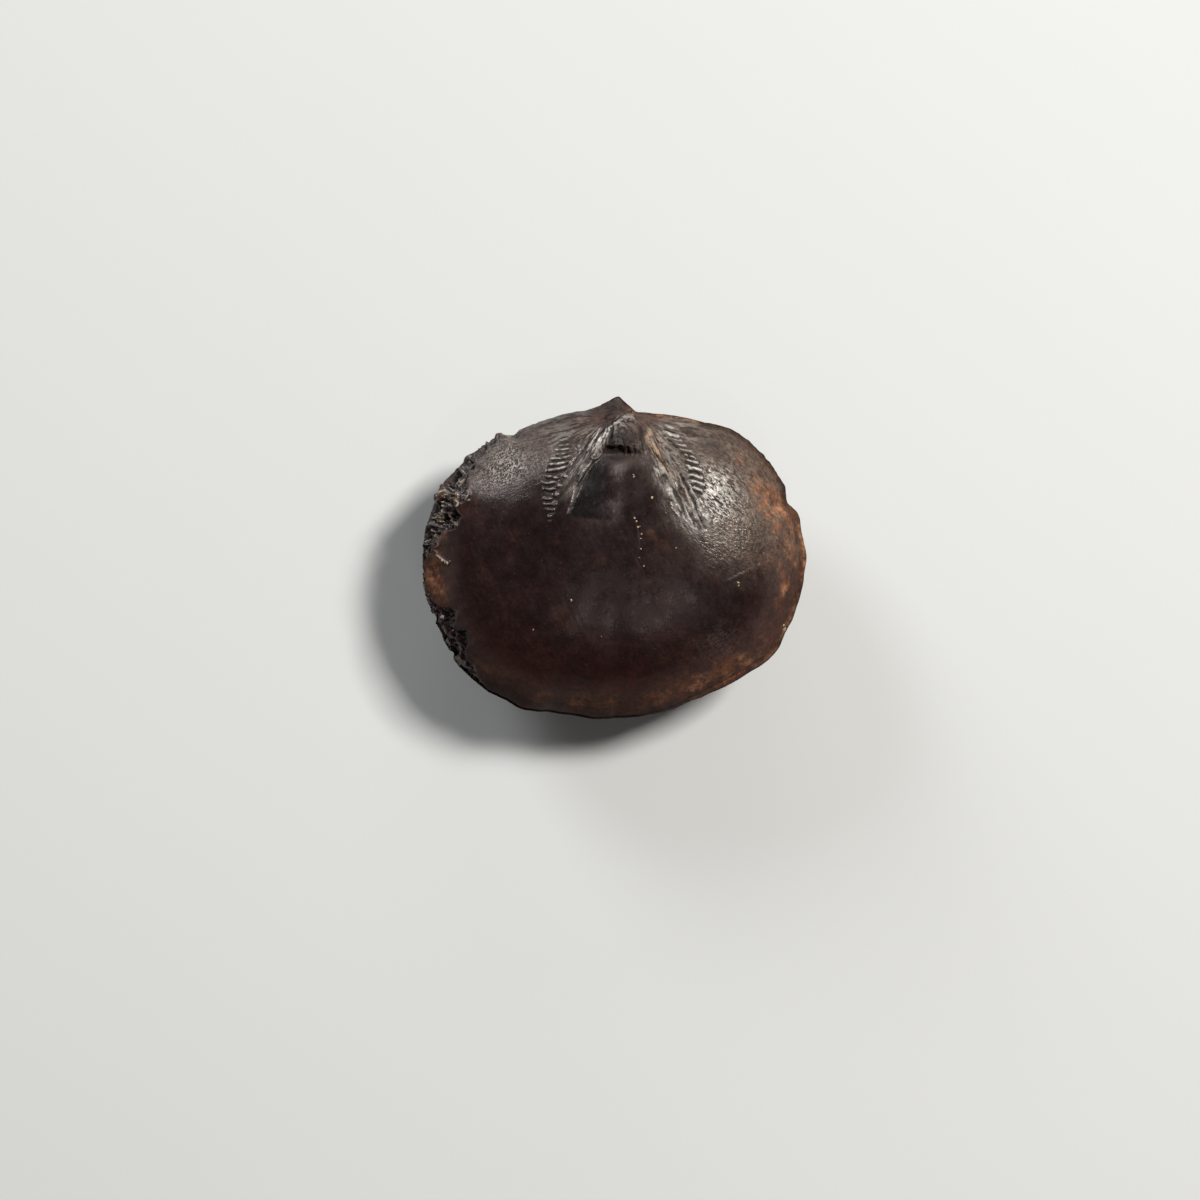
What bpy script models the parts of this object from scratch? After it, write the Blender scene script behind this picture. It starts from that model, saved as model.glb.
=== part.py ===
"""A closed fossil brachiopod, turned to dark iron mineral with rust in its low places.

It lies on its pedicle valve with the smaller brachial valve up. +X runs to the right margin,
+Y to the beak and +Z up. The two valves are locked shut and filled, so the fossil is one solid.

A UV sphere is the blank. Its rings become the rings of a dome over each valve, its equator
becomes the shell's margin, and low relief is then added to the dome's height. The rows of short
rungs beside the umbo are fused on, and the lowest point of the pedicle valve is worn flat.
"""

import functools
import math

import bmesh
import bpy
import numpy as np
from mathutils import Matrix, Vector, noise

MM = 0.001
TAU = 2 * math.pi

# Outline, seen from above. Each quarter is a superellipse about one centre.
HALF_WIDTH = 7.46 * MM
HINGE_REACH = 5.72 * MM
FRONT_REACH = 6.2 * MM
CENTRE = Vector((0.0, -0.05 * MM))
SQUARENESS_HINGE = {"left": 2.15, "right": 2.38}
SQUARENESS_FRONT = {"left": 2.2, "right": 2.02}

# Broad swells and hollows (minus) of that outline: angle in degrees, rise, half-width in degrees.
MARGIN_SWELLS = (
    (23.0, -0.15 * MM, 9.0),
    (47.0, 0.17 * MM, 7.0),
    (104.0, 0.10 * MM, 7.0),
    (138.0, 0.08 * MM, 5.0),
    (157.0, 0.12 * MM, 7.0),
    (178.0, 0.05 * MM, 12.0),
    (214.0, 0.13 * MM, 5.5),
    (225.0, 0.22 * MM, 7.0),
    (239.0, 0.22 * MM, 7.0),
    (263.0, 0.09 * MM, 6.0),
    (302.0, -0.13 * MM, 12.0),
    (329.0, 0.20 * MM, 6.5),
    (342.0, 0.05 * MM, 4.0),
)

# Beak of the pedicle valve, a small cusp behind the hinge line.
BEAK_X = 0.17 * MM
BEAK_RISE = 0.57 * MM
BEAK_HALF_WIDTH = {"left": 1.3 * MM, "right": 0.72 * MM}
BEAK_BLUNTNESS = 0.08
BEAK_LIFT = 0.45 * MM

# Nicks (positive) and nodules (negative) in the margin: angle in degrees, depth, half-width in degrees.
MARGIN_NICKS = (
    (198.2, 0.13 * MM, 1.2),
    (203.0, 0.05 * MM, 2.0),
    (210.3, 0.14 * MM, 1.0),
    (18.0, 0.22 * MM, 2.6),
    (8.0, 0.07 * MM, 3.0),
    (1.0, -0.07 * MM, 2.5),
    (128.8, 0.12 * MM, 1.8),
    (133.3, -0.11 * MM, 1.3),
    (145.5, -0.16 * MM, 2.2),
)
MARGIN_ROUGHNESS = 0.035 * MM

# Domes of the two valves above and below the margin.
MARGIN_HEIGHT = 3.45 * MM
BRACHIAL_RISE = 3.05 * MM
BRACHIAL_CROWN = Vector((0.1 * MM, 1.0 * MM))
BRACHIAL_FULLNESS = 0.62
PEDICLE_DEPTH = 3.63 * MM
PEDICLE_CROWN = Vector((0.05 * MM, 0.45 * MM))
PEDICLE_FULLNESS = 0.61
FRONT_DIP = 0.3 * MM
FRONT_DIP_HALF_ANGLE = 26.0

# Umbo of the brachial valve, with the recess in front of it and the crack behind it.
UMBO = Vector((0.45 * MM, 4.95 * MM))
UMBO_RISE = 0.32 * MM
UMBO_RADIUS = Vector((0.75 * MM, 0.62 * MM))
RECESS = Vector((0.10 * MM, 4.10 * MM))
RECESS_DEPTH = 0.26 * MM
RECESS_RADIUS = Vector((0.60 * MM, 0.40 * MM))
CRACK = (Vector((-0.35 * MM, 5.20 * MM)), Vector((0.75 * MM, 5.72 * MM)))
CRACK_DEPTH = 0.18 * MM
CRACK_HALF_WIDTH = 0.14 * MM

# Muscle field: a sunk fan between two ridges that spread from the umbo.
FIELD_DEPTH = 0.15 * MM
FIELD_END_Y = 0.2 * MM
LEFT_RIDGE = (
    Vector((-0.30 * MM, 4.30 * MM)),
    Vector((-0.95 * MM, 3.45 * MM)),
    Vector((-1.65 * MM, 2.45 * MM)),
    Vector((-2.05 * MM, 1.30 * MM)),
)
RIGHT_RIDGE = (
    Vector((1.32 * MM, 4.85 * MM)),
    Vector((1.55 * MM, 4.10 * MM)),
    Vector((2.15 * MM, 3.40 * MM)),
    Vector((2.80 * MM, 2.50 * MM)),
    Vector((3.45 * MM, 1.20 * MM)),
)
RIDGE_RISE = {"left": 0.12 * MM, "right": 0.16 * MM}
RIDGE_HALF_WIDTH = {"left": 0.20 * MM, "right": 0.24 * MM}

# Broken left margin, where the brachial valve's edge has flaked away.
FLAKED_ARC = (138.0, 222.0)
FLAKED_WIDTH = 0.95 * MM
FLAKED_DEPTH = 0.34 * MM
FLAKED_ROUGHNESS = 0.20 * MM
SCAR = Vector((-6.85 * MM, -0.62 * MM))
SCAR_RADIUS = Vector((0.55 * MM, 1.0 * MM))
SCAR_DEPTH = 0.28 * MM

# Rim, where the pedicle valve's edge shows outside the brachial valve's, and growth lines.
RIM_WIDTH = 0.2 * MM
GROWTH_LINES = (0.80, 0.89, 0.955)
GROWTH_STEP = 0.07 * MM

# Pedicle valve's swollen umbo.
PEDICLE_UMBO = Vector((0.15 * MM, 3.4 * MM))
PEDICLE_UMBO_RISE = 0.2 * MM
PEDICLE_UMBO_RADIUS = Vector((2.2 * MM, 2.0 * MM))

# Rows of rungs: the middle of the row as points, the tilt and length at each end, and their count.
LEFT_ROW = (
    Vector((-1.05 * MM, 5.20 * MM)),
    Vector((-1.85 * MM, 4.75 * MM)),
    Vector((-2.15 * MM, 4.05 * MM)),
    Vector((-2.35 * MM, 3.20 * MM)),
    Vector((-2.50 * MM, 2.40 * MM)),
    Vector((-2.55 * MM, 1.60 * MM)),
)
RIGHT_ROW = (
    Vector((1.90 * MM, 5.15 * MM)),
    Vector((2.55 * MM, 4.60 * MM)),
    Vector((2.95 * MM, 3.95 * MM)),
    Vector((3.25 * MM, 3.25 * MM)),
    Vector((3.42 * MM, 2.55 * MM)),
    Vector((3.50 * MM, 1.85 * MM)),
)
LEFT_TILT = (24.0, 4.0)
RIGHT_TILT = (-38.0, -14.0)
RUNG_LENGTH = (0.95 * MM, 0.40 * MM)
RUNG_HALF_WIDTH = 0.095 * MM
RUNG_HALF_HEIGHT = 0.17 * MM
RUNG_SINK = 0.05 * MM
RUNGS_PER_ROW = 13
RUNG_SIDES = 8
RUNG_RINGS = 4

# Facets of the blank. The upper valve's innermost rings close in on the muscle field.
SEGMENTS = 120
PEDICLE_RINGS = 10
BRACHIAL_RINGS = 24
CROWDING = ((180.0, 42.0, 1.2), (90.0, 16.0, 1.8))
EDGE_CROWDING = 1.35
FIELD_POLE = Vector((0.4 * MM, 3.0 * MM))


def smoothstep(low, high, value):
    """0 below low, 1 above high, with an S curve between."""
    share = np.clip((value - low) / (high - low), 0, 1)
    return share * share * (3 - 2 * share)


def bump(x, y, centre, radius):
    """A Gaussian hill, 1 high, over the plan."""
    return np.exp(-(((x - centre.x) / radius.x) ** 2) - ((y - centre.y) / radius.y) ** 2)


def roughness_at(x, y, pitch, seed):
    """Smooth random values between -1 and 1 whose grain is pitch wide."""
    pairs = zip(np.ravel(x), np.ravel(y))
    values = [noise.noise(Vector((u / pitch, v / pitch, seed))) for u, v in pairs]
    return np.array(values).reshape(np.shape(x))


def angle_gap(angle, degrees):
    """Signed gap in degrees from a plan angle in radians to one in degrees."""
    return (np.degrees(angle) - degrees + 180) % 360 - 180


def smooth_reach(angle):
    """Distance from the outline's centre to the unbroken, beakless margin at each plan angle."""
    across, along = np.cos(angle), np.sin(angle)
    right, hinge = smoothstep(-0.3, 0.3, across), smoothstep(-0.3, 0.3, along)
    back = SQUARENESS_HINGE["left"] + right * (SQUARENESS_HINGE["right"] - SQUARENESS_HINGE["left"])
    front = SQUARENESS_FRONT["left"] + right * (SQUARENESS_FRONT["right"] - SQUARENESS_FRONT["left"])
    squareness = front + hinge * (back - front)
    depth = np.where(along >= 0, HINGE_REACH, FRONT_REACH)
    total = np.abs(across / HALF_WIDTH) ** squareness + np.abs(along / depth) ** squareness
    reach = total ** (-1 / squareness)
    for degrees, rise, half_width in MARGIN_SWELLS:
        reach = reach + rise * np.exp(-((angle_gap(angle, degrees) / half_width) ** 2))
    return reach


def beaked_reach(angle):
    """Distance from the outline's centre to the margin with its beak and nothing broken off."""
    reach = smooth_reach(angle)
    beside = reach * np.cos(angle) + CENTRE.x - BEAK_X
    half = np.where(beside >= 0, BEAK_HALF_WIDTH["right"], BEAK_HALF_WIDTH["left"])
    gone = np.sqrt((beside / half) ** 2 + BEAK_BLUNTNESS**2) - BEAK_BLUNTNESS
    cusp = np.where(np.sin(angle) > 0, np.clip(1 - gone, 0, 1), 0)
    return reach + BEAK_RISE * cusp**1.4


def margin_reach(angle):
    """Distance from the outline's centre to the true margin, with its beak, nicks and chips."""
    reach = beaked_reach(angle)
    for degrees, deep, half_width in MARGIN_NICKS:
        reach = reach - deep * np.exp(-((angle_gap(angle, degrees) / half_width) ** 2))
    grain = roughness_at(np.cos(angle) * 14, np.sin(angle) * 14, 1.0, 3.7)
    return reach + MARGIN_ROUGHNESS * grain


def margin_points(angle):
    """The margin's plan x and y at each plan angle about the outline's centre."""
    reach = margin_reach(angle)
    return CENTRE.x + reach * np.cos(angle), CENTRE.y + reach * np.sin(angle)


@functools.lru_cache(maxsize=None)
def reach_table(crown_x, crown_y, reach_of):
    """Bearings about a crown, in order, and the distance to an outline along each."""
    angle = np.linspace(0, TAU, 1441)[:-1]
    reach = reach_of(angle)
    edge_x = CENTRE.x + reach * np.cos(angle) - crown_x
    edge_y = CENTRE.y + reach * np.sin(angle) - crown_y
    bearing = np.arctan2(edge_y, edge_x)
    order = np.argsort(bearing)
    return bearing[order], np.hypot(edge_x, edge_y)[order]


def share_of_reach(x, y, crown):
    """0 at the crown of a valve and 1 at its margin, along the ray between them.

    The beak only counts in the outer half, and nicks and chips only close to the margin, so the
    dome inside stays smooth.
    """
    bearing, radius = np.arctan2(y - crown.y, x - crown.x), np.hypot(x - crown.x, y - crown.y)
    smooth, beaked, broken = (
        np.interp(bearing, *reach_table(crown.x, crown.y, outline), period=TAU)
        for outline in (smooth_reach, beaked_reach, margin_reach)
    )
    at_beak = smoothstep(0.5, 1.0, radius / smooth)
    at_nicks = smoothstep(0.78, 0.94, radius / smooth)
    return radius / (smooth + at_beak * (beaked - smooth) + at_nicks * (broken - beaked))


def along_line(x, y, points):
    """Distance from each place to a run of points, and the share of the run's length there."""
    nearest = np.full(np.shape(x), np.inf)
    share = np.zeros(np.shape(x))
    lengths = [(b - a).length for a, b in zip(points, points[1:])]
    gone = 0.0
    for a, b, length in zip(points, points[1:], lengths):
        step = b - a
        t = np.clip(((x - a.x) * step.x + (y - a.y) * step.y) / length**2, 0, 1)
        distance = np.hypot(x - a.x - t * step.x, y - a.y - t * step.y)
        closer = distance < nearest
        nearest = np.where(closer, distance, nearest)
        share = np.where(closer, (gone + t * length) / sum(lengths), share)
        gone += length
    return nearest, share


def ridge(x, y, points, half_width):
    """A raised line along points, 1 high at its start and fading out at its end."""
    distance, share = along_line(x, y, points)
    return np.exp(-((distance / half_width) ** 2)) * (1 - smoothstep(0.72, 1.0, share))


def in_field(x, y):
    """1 in the sunk fan between the two ridges, 0 outside it."""
    left = np.interp(-y, [-p.y for p in LEFT_RIDGE], [p.x for p in LEFT_RIDGE])
    right = np.interp(-y, [-p.y for p in RIGHT_RIDGE], [p.x for p in RIGHT_RIDGE])
    soft = 0.2 * MM
    inside = smoothstep(-soft, soft, x - left) * smoothstep(-soft, soft, right - x)
    lengthwise = smoothstep(FIELD_END_Y, 2.2 * MM, y) * (1 - smoothstep(4.1 * MM, 4.5 * MM, y))
    return inside * lengthwise


def growth_steps(share):
    """Low ledges where the shell paused in growth, each facing the margin."""
    return sum(GROWTH_STEP * (1 - smoothstep(at - 0.012, at + 0.004, share)) for at in GROWTH_LINES)


def margin_height(angle):
    """Height of the margin, which dips towards the pedicle valve at the front and lifts at the beak."""
    dip = FRONT_DIP * np.exp(-((angle_gap(angle, 266.0) / FRONT_DIP_HALF_ANGLE) ** 2))
    lift = BEAK_LIFT * np.exp(-((angle_gap(angle, 89.0) / 7.0) ** 2))
    return MARGIN_HEIGHT - dip + lift


def brachial_height(x, y):
    """Height of the upper valve over its own margin."""
    share = share_of_reach(x, y, BRACHIAL_CROWN)
    angle = np.arctan2(y - CENTRE.y, x - CENTRE.x)
    radius = np.hypot(x - CENTRE.x, y - CENTRE.y)
    from_margin = margin_reach(angle) - radius

    turn = angle_gap(angle, 0)
    rim = RIM_WIDTH * (0.35 * smoothstep(-175, -125, turn) + 0.65 * smoothstep(-75, -45, turn))
    rim = rim * (1 - smoothstep(70, 100, turn))
    inner = np.clip(share / (1 - rim / (6.5 * MM)), 0, 1)
    height = BRACHIAL_RISE * np.clip(1 - inner**2, 0, 1) ** BRACHIAL_FULLNESS
    height = height + growth_steps(share) * smoothstep(0.3, 0.7, share)

    grown = np.clip((UMBO.y - y) / (10 * MM), 0, 1)
    trough = np.exp(-(((x - 0.3 * MM) / (0.5 * MM + grown * 3.0 * MM)) ** 2))
    height = height - 0.22 * MM * trough * smoothstep(0.02, 0.25, grown) * (1 - share**4)

    height = height + UMBO_RISE * bump(x, y, UMBO, UMBO_RADIUS)
    height = height - RECESS_DEPTH * bump(x, y, RECESS, RECESS_RADIUS)
    crack, _ = along_line(x, y, CRACK)
    height = height - CRACK_DEPTH * np.exp(-((crack / CRACK_HALF_WIDTH) ** 2))
    height = height - FIELD_DEPTH * in_field(x, y)
    height = height + RIDGE_RISE["left"] * ridge(x, y, LEFT_RIDGE, RIDGE_HALF_WIDTH["left"])
    height = height + RIDGE_RISE["right"] * ridge(x, y, RIGHT_RIDGE, RIDGE_HALF_WIDTH["right"])

    start, end = FLAKED_ARC
    middle, half = (start + end) / 2, (end - start) / 2
    on_arc = 1 - smoothstep(half - 9, half, np.abs(angle_gap(angle, middle)))
    width = FLAKED_WIDTH * (0.75 + 0.5 * roughness_at(x, y, 0.9 * MM, 8.1))
    flaked = on_arc * (1 - smoothstep(0.8 * width, width, from_margin))
    blocks = FLAKED_ROUGHNESS * roughness_at(x, y * 1.6, 0.42 * MM, 1.3)
    scar = bump(x, y, SCAR, SCAR_RADIUS)
    height = height - flaked * (FLAKED_DEPTH + blocks * (1 - scar)) - SCAR_DEPTH * scar
    return np.maximum(height, 0)


def pedicle_depth(x, y):
    """Depth of the lower valve under its margin."""
    share = share_of_reach(x, y, PEDICLE_CROWN)
    depth = PEDICLE_DEPTH * np.clip(1 - share**2, 0, 1) ** PEDICLE_FULLNESS
    depth = depth + growth_steps(share) * smoothstep(0.3, 0.7, share)
    swell = PEDICLE_UMBO_RISE * bump(x, y, PEDICLE_UMBO, PEDICLE_UMBO_RADIUS)
    return depth + swell * (1 - share**3)


def segment_angles(count):
    """Plan angles of the blank's segments, closer together at the broken margin and at the beak."""
    fine = np.linspace(0, TAU, 3601)
    density = np.ones_like(fine)
    for degrees, half_width, extra in CROWDING:
        density += extra * np.exp(-((angle_gap(fine, degrees) / half_width) ** 2))
    turned = np.concatenate(([0], np.cumsum((density[1:] + density[:-1]) / 2)))
    return np.interp(np.arange(count) / count, turned / turned[-1], fine)


def shape_blank(blank):
    """Moves a unit UV sphere's points onto the two valves."""
    rings = PEDICLE_RINGS + BRACHIAL_RINGS
    angles = segment_angles(SEGMENTS)
    for vertex in blank.verts:
        latitude = math.asin(max(-1.0, min(1.0, vertex.co.z)))
        ring = round((latitude / math.pi + 0.5) * rings) - PEDICLE_RINGS
        turn = math.atan2(vertex.co.y, vertex.co.x) % TAU
        angle = angles[round(turn / TAU * SEGMENTS) % SEGMENTS]
        edge_x, edge_y = margin_points(angle)
        edge = Vector((edge_x, edge_y))
        if ring >= 0:
            share = 1 - (ring / BRACHIAL_RINGS) ** EDGE_CROWDING
            place = FIELD_POLE.lerp(edge, share)
            place = place.lerp(BRACHIAL_CROWN.lerp(edge, share), smoothstep(0.35, 1.0, share))
        else:
            share = 1 - (-ring / PEDICLE_RINGS) ** EDGE_CROWDING
            place = PEDICLE_CROWN.lerp(edge, share)
        vertex.co = (place.x, place.y, ring)


def raise_domes(blank):
    """Gives each point of the shaped blank its height, from its place in plan and its valve."""
    x = np.array([v.co.x for v in blank.verts])
    y = np.array([v.co.y for v in blank.verts])
    ring = np.array([v.co.z for v in blank.verts])
    level = margin_height(np.arctan2(y - CENTRE.y, x - CENTRE.x))
    crown_level = MARGIN_HEIGHT
    blend = share_of_reach(x, y, BRACHIAL_CROWN) ** 3
    level = crown_level + (level - crown_level) * blend
    above = level + brachial_height(x, y)
    below = level - pedicle_depth(x, y)
    z = np.where(ring > 0, above, np.where(ring < 0, below, level))
    for vertex, height in zip(blank.verts, z):
        vertex.co.z = height


def wear_flat(blank):
    """Cuts the pedicle valve's lowest point off level at z = 0 and closes the cut with one face."""
    everything = blank.verts[:] + blank.edges[:] + blank.faces[:]
    bmesh.ops.bisect_plane(blank, geom=everything, plane_co=(0, 0, 0), plane_no=(0, 0, 1), clear_inner=True)
    open_edges = [edge for edge in blank.edges if edge.is_boundary]
    bmesh.ops.holes_fill(blank, edges=open_edges, sides=0)


def surface_height(x, y):
    """Height of the brachial valve's surface over the ground at one place."""
    x, y = np.array([x]), np.array([y])
    level = margin_height(np.arctan2(y - CENTRE.y, x - CENTRE.x))
    level = MARGIN_HEIGHT + (level - MARGIN_HEIGHT) * share_of_reach(x, y, BRACHIAL_CROWN) ** 3
    return float((level + brachial_height(x, y))[0])


def surface_normal(x, y):
    """Upward unit normal of the brachial valve's surface, from its slope over a short step."""
    step = 0.15 * MM
    rise_x = surface_height(x + step, y) - surface_height(x - step, y)
    rise_y = surface_height(x, y + step) - surface_height(x, y - step)
    return Vector((-rise_x, -rise_y, 2 * step)).normalized()


def place_on(points, share):
    """The point at a share of the length of a run of points."""
    lengths = [(b - a).length for a, b in zip(points, points[1:])]
    left = share * sum(lengths)
    for a, b, length in zip(points, points[1:], lengths):
        if left <= length:
            return a.lerp(b, left / length)
        left -= length
    return points[-1].copy()


def add_rungs(blank, row, tilts):
    """Adds one row of short rungs, each an ellipsoid half sunk in the surface."""
    for number in range(RUNGS_PER_ROW):
        share = number / (RUNGS_PER_ROW - 1)
        place = place_on(row, share)
        tilt = math.radians(tilts[0] + share * (tilts[1] - tilts[0]))
        length = RUNG_LENGTH[0] + share * (RUNG_LENGTH[1] - RUNG_LENGTH[0])
        normal = surface_normal(place.x, place.y)
        along = Vector((math.cos(tilt), math.sin(tilt), 0))
        along = (along - along.dot(normal) * normal).normalized()
        across = normal.cross(along)
        turn = Matrix((along, across, normal)).transposed().to_4x4()
        size = Matrix.Diagonal((length / 2, RUNG_HALF_WIDTH, RUNG_HALF_HEIGHT, 1))
        base = Vector((place.x, place.y, surface_height(place.x, place.y))) - normal * RUNG_SINK
        matrix = Matrix.Translation(base) @ turn @ size
        bmesh.ops.create_uvsphere(
            blank, u_segments=RUNG_SIDES, v_segments=RUNG_RINGS, radius=1, matrix=matrix
        )


def new_object(name, blank, collection):
    """Puts a finished bmesh in an object of that name."""
    bmesh.ops.recalc_face_normals(blank, faces=blank.faces)
    mesh = bpy.data.meshes.new(name)
    blank.to_mesh(mesh)
    blank.free()
    obj = bpy.data.objects.new(name, mesh)
    collection.objects.link(obj)
    return obj


def make_shell(collection):
    """The closed, filled shell, without its rungs."""
    blank = bmesh.new()
    bmesh.ops.create_uvsphere(
        blank, u_segments=SEGMENTS, v_segments=PEDICLE_RINGS + BRACHIAL_RINGS, radius=1
    )
    shape_blank(blank)
    raise_domes(blank)
    wear_flat(blank)
    return new_object("brachiopod", blank, collection)


def make_rungs(collection):
    """The two rows of rungs, as one helper that is fused into the shell."""
    blank = bmesh.new()
    add_rungs(blank, LEFT_ROW, LEFT_TILT)
    add_rungs(blank, RIGHT_ROW, RIGHT_TILT)
    rungs = new_object("rung_rows", blank, collection)
    rungs.hide_render = True
    rungs.display_type = "WIRE"
    return rungs


def fuse(obj, other):
    """Joins other into obj with a Boolean union."""
    union = obj.modifiers.new("fuse_rungs", "BOOLEAN")
    union.operation = "UNION"
    union.solver = "EXACT"
    union.use_self = True
    union.object = other


def iron_mineral():
    """Near-black brown mineral with a satin shine."""
    material = bpy.data.materials.new("iron_mineral")
    material.use_nodes = True
    shader = material.node_tree.nodes["Principled BSDF"]
    shader.inputs["Base Color"].default_value = (0.028, 0.019, 0.017, 1)
    shader.inputs["Roughness"].default_value = 0.42
    shader.inputs["Metallic"].default_value = 0.2
    return material


def main():
    """Clears the scene and builds the fossil."""
    for obj in list(bpy.data.objects):
        bpy.data.objects.remove(obj)
    parts = bpy.data.collections.new("brachiopod_fossil")
    helpers = bpy.data.collections.new("helpers")
    bpy.context.scene.collection.children.link(parts)
    bpy.context.scene.collection.children.link(helpers)

    shell = make_shell(parts)
    rungs = make_rungs(helpers)
    fuse(shell, rungs)
    shell.data.materials.append(iron_mineral())
    shell.data.shade_smooth()
    shell.data.set_sharp_from_angle(angle=math.radians(50))


main()
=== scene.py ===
"""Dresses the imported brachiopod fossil: one finely worked skin, a pale floor, soft light and a camera.

The skin starts as a UV sphere. Its rings become the rings of a dome over each valve and its equator
the shell's margin. Broad forms set each point's height, and low relief then moves it along the
surface's own normal. Lengths in the classes are in millimetres, and the finished mesh is in metres.
"""

import functools
import logging
import math
from dataclasses import dataclass, field
from enum import Enum
from typing import Callable, Sequence

import bmesh
import bpy
import numpy as np
from mathutils import Matrix, Vector, noise

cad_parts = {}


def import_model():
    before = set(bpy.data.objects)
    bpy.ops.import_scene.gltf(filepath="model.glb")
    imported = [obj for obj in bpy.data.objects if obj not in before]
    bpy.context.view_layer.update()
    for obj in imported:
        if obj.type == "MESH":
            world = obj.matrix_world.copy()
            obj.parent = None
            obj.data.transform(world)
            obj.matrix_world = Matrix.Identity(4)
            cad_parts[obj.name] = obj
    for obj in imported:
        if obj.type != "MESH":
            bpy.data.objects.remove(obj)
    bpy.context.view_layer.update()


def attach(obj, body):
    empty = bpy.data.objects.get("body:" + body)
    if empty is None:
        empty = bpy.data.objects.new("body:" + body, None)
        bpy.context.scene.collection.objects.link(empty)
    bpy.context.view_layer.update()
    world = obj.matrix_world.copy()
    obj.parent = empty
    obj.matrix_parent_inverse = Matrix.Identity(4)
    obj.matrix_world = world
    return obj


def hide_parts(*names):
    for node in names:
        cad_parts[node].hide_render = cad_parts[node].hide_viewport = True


LOG = logging.getLogger("brachiopod")
MM = 0.001
TAU = 2 * math.pi

Array = np.ndarray
Plan = tuple[float, float]
Line = Sequence[Plan]
Colour = tuple[float, float, float]
Socket = bpy.types.NodeSocket

# Plan place of the eye, which is also the camera's, and how far it is above the margin, in millimetres.
EYE: Plan = (-0.53, -1.66)
EYE_DISTANCE = 160.0


class Bend(Enum):
    """How a mark's height falls off from its middle line."""

    SWOLLEN = "swollen"
    SOFT = "soft"


def smoothstep(low: float, high: float, value: Array) -> Array:
    """Gives 0 below low, 1 above high, and an S curve between."""
    share = np.clip((value - low) / (high - low), 0, 1)
    return share * share * (3 - 2 * share)


def hill(x: Array, y: Array, centre: Plan, radius: Plan, turn: float = 0.0) -> Array:
    """Gives a Gaussian hill, 1 high.

    Args:
        x: plan x of each point.
        y: plan y of each point.
        centre: plan place of its top.
        radius: its radii along its own two axes.
        turn: how far its first axis is turned from +X, in degrees.

    Returns:
        The hill's height at each point.
    """
    cos, sin = math.cos(math.radians(turn)), math.sin(math.radians(turn))
    along = (x - centre[0]) * cos + (y - centre[1]) * sin
    across = -(x - centre[0]) * sin + (y - centre[1]) * cos
    return np.exp(-((along / radius[0]) ** 2) - (across / radius[1]) ** 2)


def angle_gap(angle: Array, degrees: float) -> Array:
    """Gives the signed gap in degrees from plan angles in radians to one in degrees."""
    return (np.degrees(angle) - degrees + 180) % 360 - 180


def grain(points: Array, pitch: float, seed: float, octaves: int = 1) -> Array:
    """Gives smooth random values, about -1 to 1.

    Args:
        points: places as rows of x, y, z.
        pitch: width of the coarsest grain.
        seed: shift of the pattern along z.
        octaves: how many grains, each half as wide as the one before.

    Returns:
        One value for each place.
    """
    rows = (np.asarray(points, float) / pitch + np.array([0.0, 0.0, seed])).tolist()
    if octaves == 1:
        return np.array([noise.noise(row) for row in rows])
    return np.array([noise.fractal(row, 1.0, 2.0, octaves) for row in rows])


def cells(points: Array, pitch: float, seed: float) -> tuple[Array, Array]:
    """Splits space into irregular blocks.

    Args:
        points: places as rows of x, y, z.
        pitch: width of a block.
        seed: shift of the pattern along z.

    Returns:
        How far inside its block each place is, from 0 at a wall, and its block's own value, -1 to 1.
    """
    rows = (np.asarray(points, float) / pitch + np.array([0.0, 0.0, seed])).tolist()
    inside, value = np.zeros(len(rows)), np.zeros(len(rows))
    for index, row in enumerate(rows):
        gaps, seeds = noise.voronoi(row)
        inside[index] = gaps[1] - gaps[0]
        value[index] = noise.cell(seeds[0] * 7.31) * 2 - 1
    return inside, value


def along_line(x: Array, y: Array, points: Line) -> tuple[Array, Array]:
    """Measures places against a run of points.

    Args:
        x: plan x of each place.
        y: plan y of each place.
        points: the run's points.

    Returns:
        The distance to the run, and the share of its length there.
    """
    nearest, share = np.full(np.shape(x), np.inf), np.zeros(np.shape(x))
    steps = [(b[0] - a[0], b[1] - a[1]) for a, b in zip(points, points[1:])]
    lengths = [math.hypot(*step) for step in steps]
    gone = 0.0
    for start, step, length in zip(points, steps, lengths):
        t = np.clip(((x - start[0]) * step[0] + (y - start[1]) * step[1]) / length**2, 0, 1)
        distance = np.hypot(x - start[0] - t * step[0], y - start[1] - t * step[1])
        closer = distance < nearest
        nearest = np.where(closer, distance, nearest)
        share = np.where(closer, (gone + t * length) / sum(lengths), share)
        gone += length
    return nearest, share


def band(x: Array, y: Array, points: Line, half_width: float, power: int = 2) -> Array:
    """Gives a soft band, 1 on a run of points and about a third at half_width from it.

    Args:
        x: plan x of each place.
        y: plan y of each place.
        points: the run's points.
        half_width: of the band.
        power: steepness of its sides, even.

    Returns:
        The band's strength at each place.
    """
    return np.exp(-((along_line(x, y, points)[0] / half_width) ** power))


def shifted(points: Line, dx: float, dy: float) -> Line:
    """Moves a run of points sideways."""
    return [(x + dx, y + dy) for x, y in points]


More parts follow.
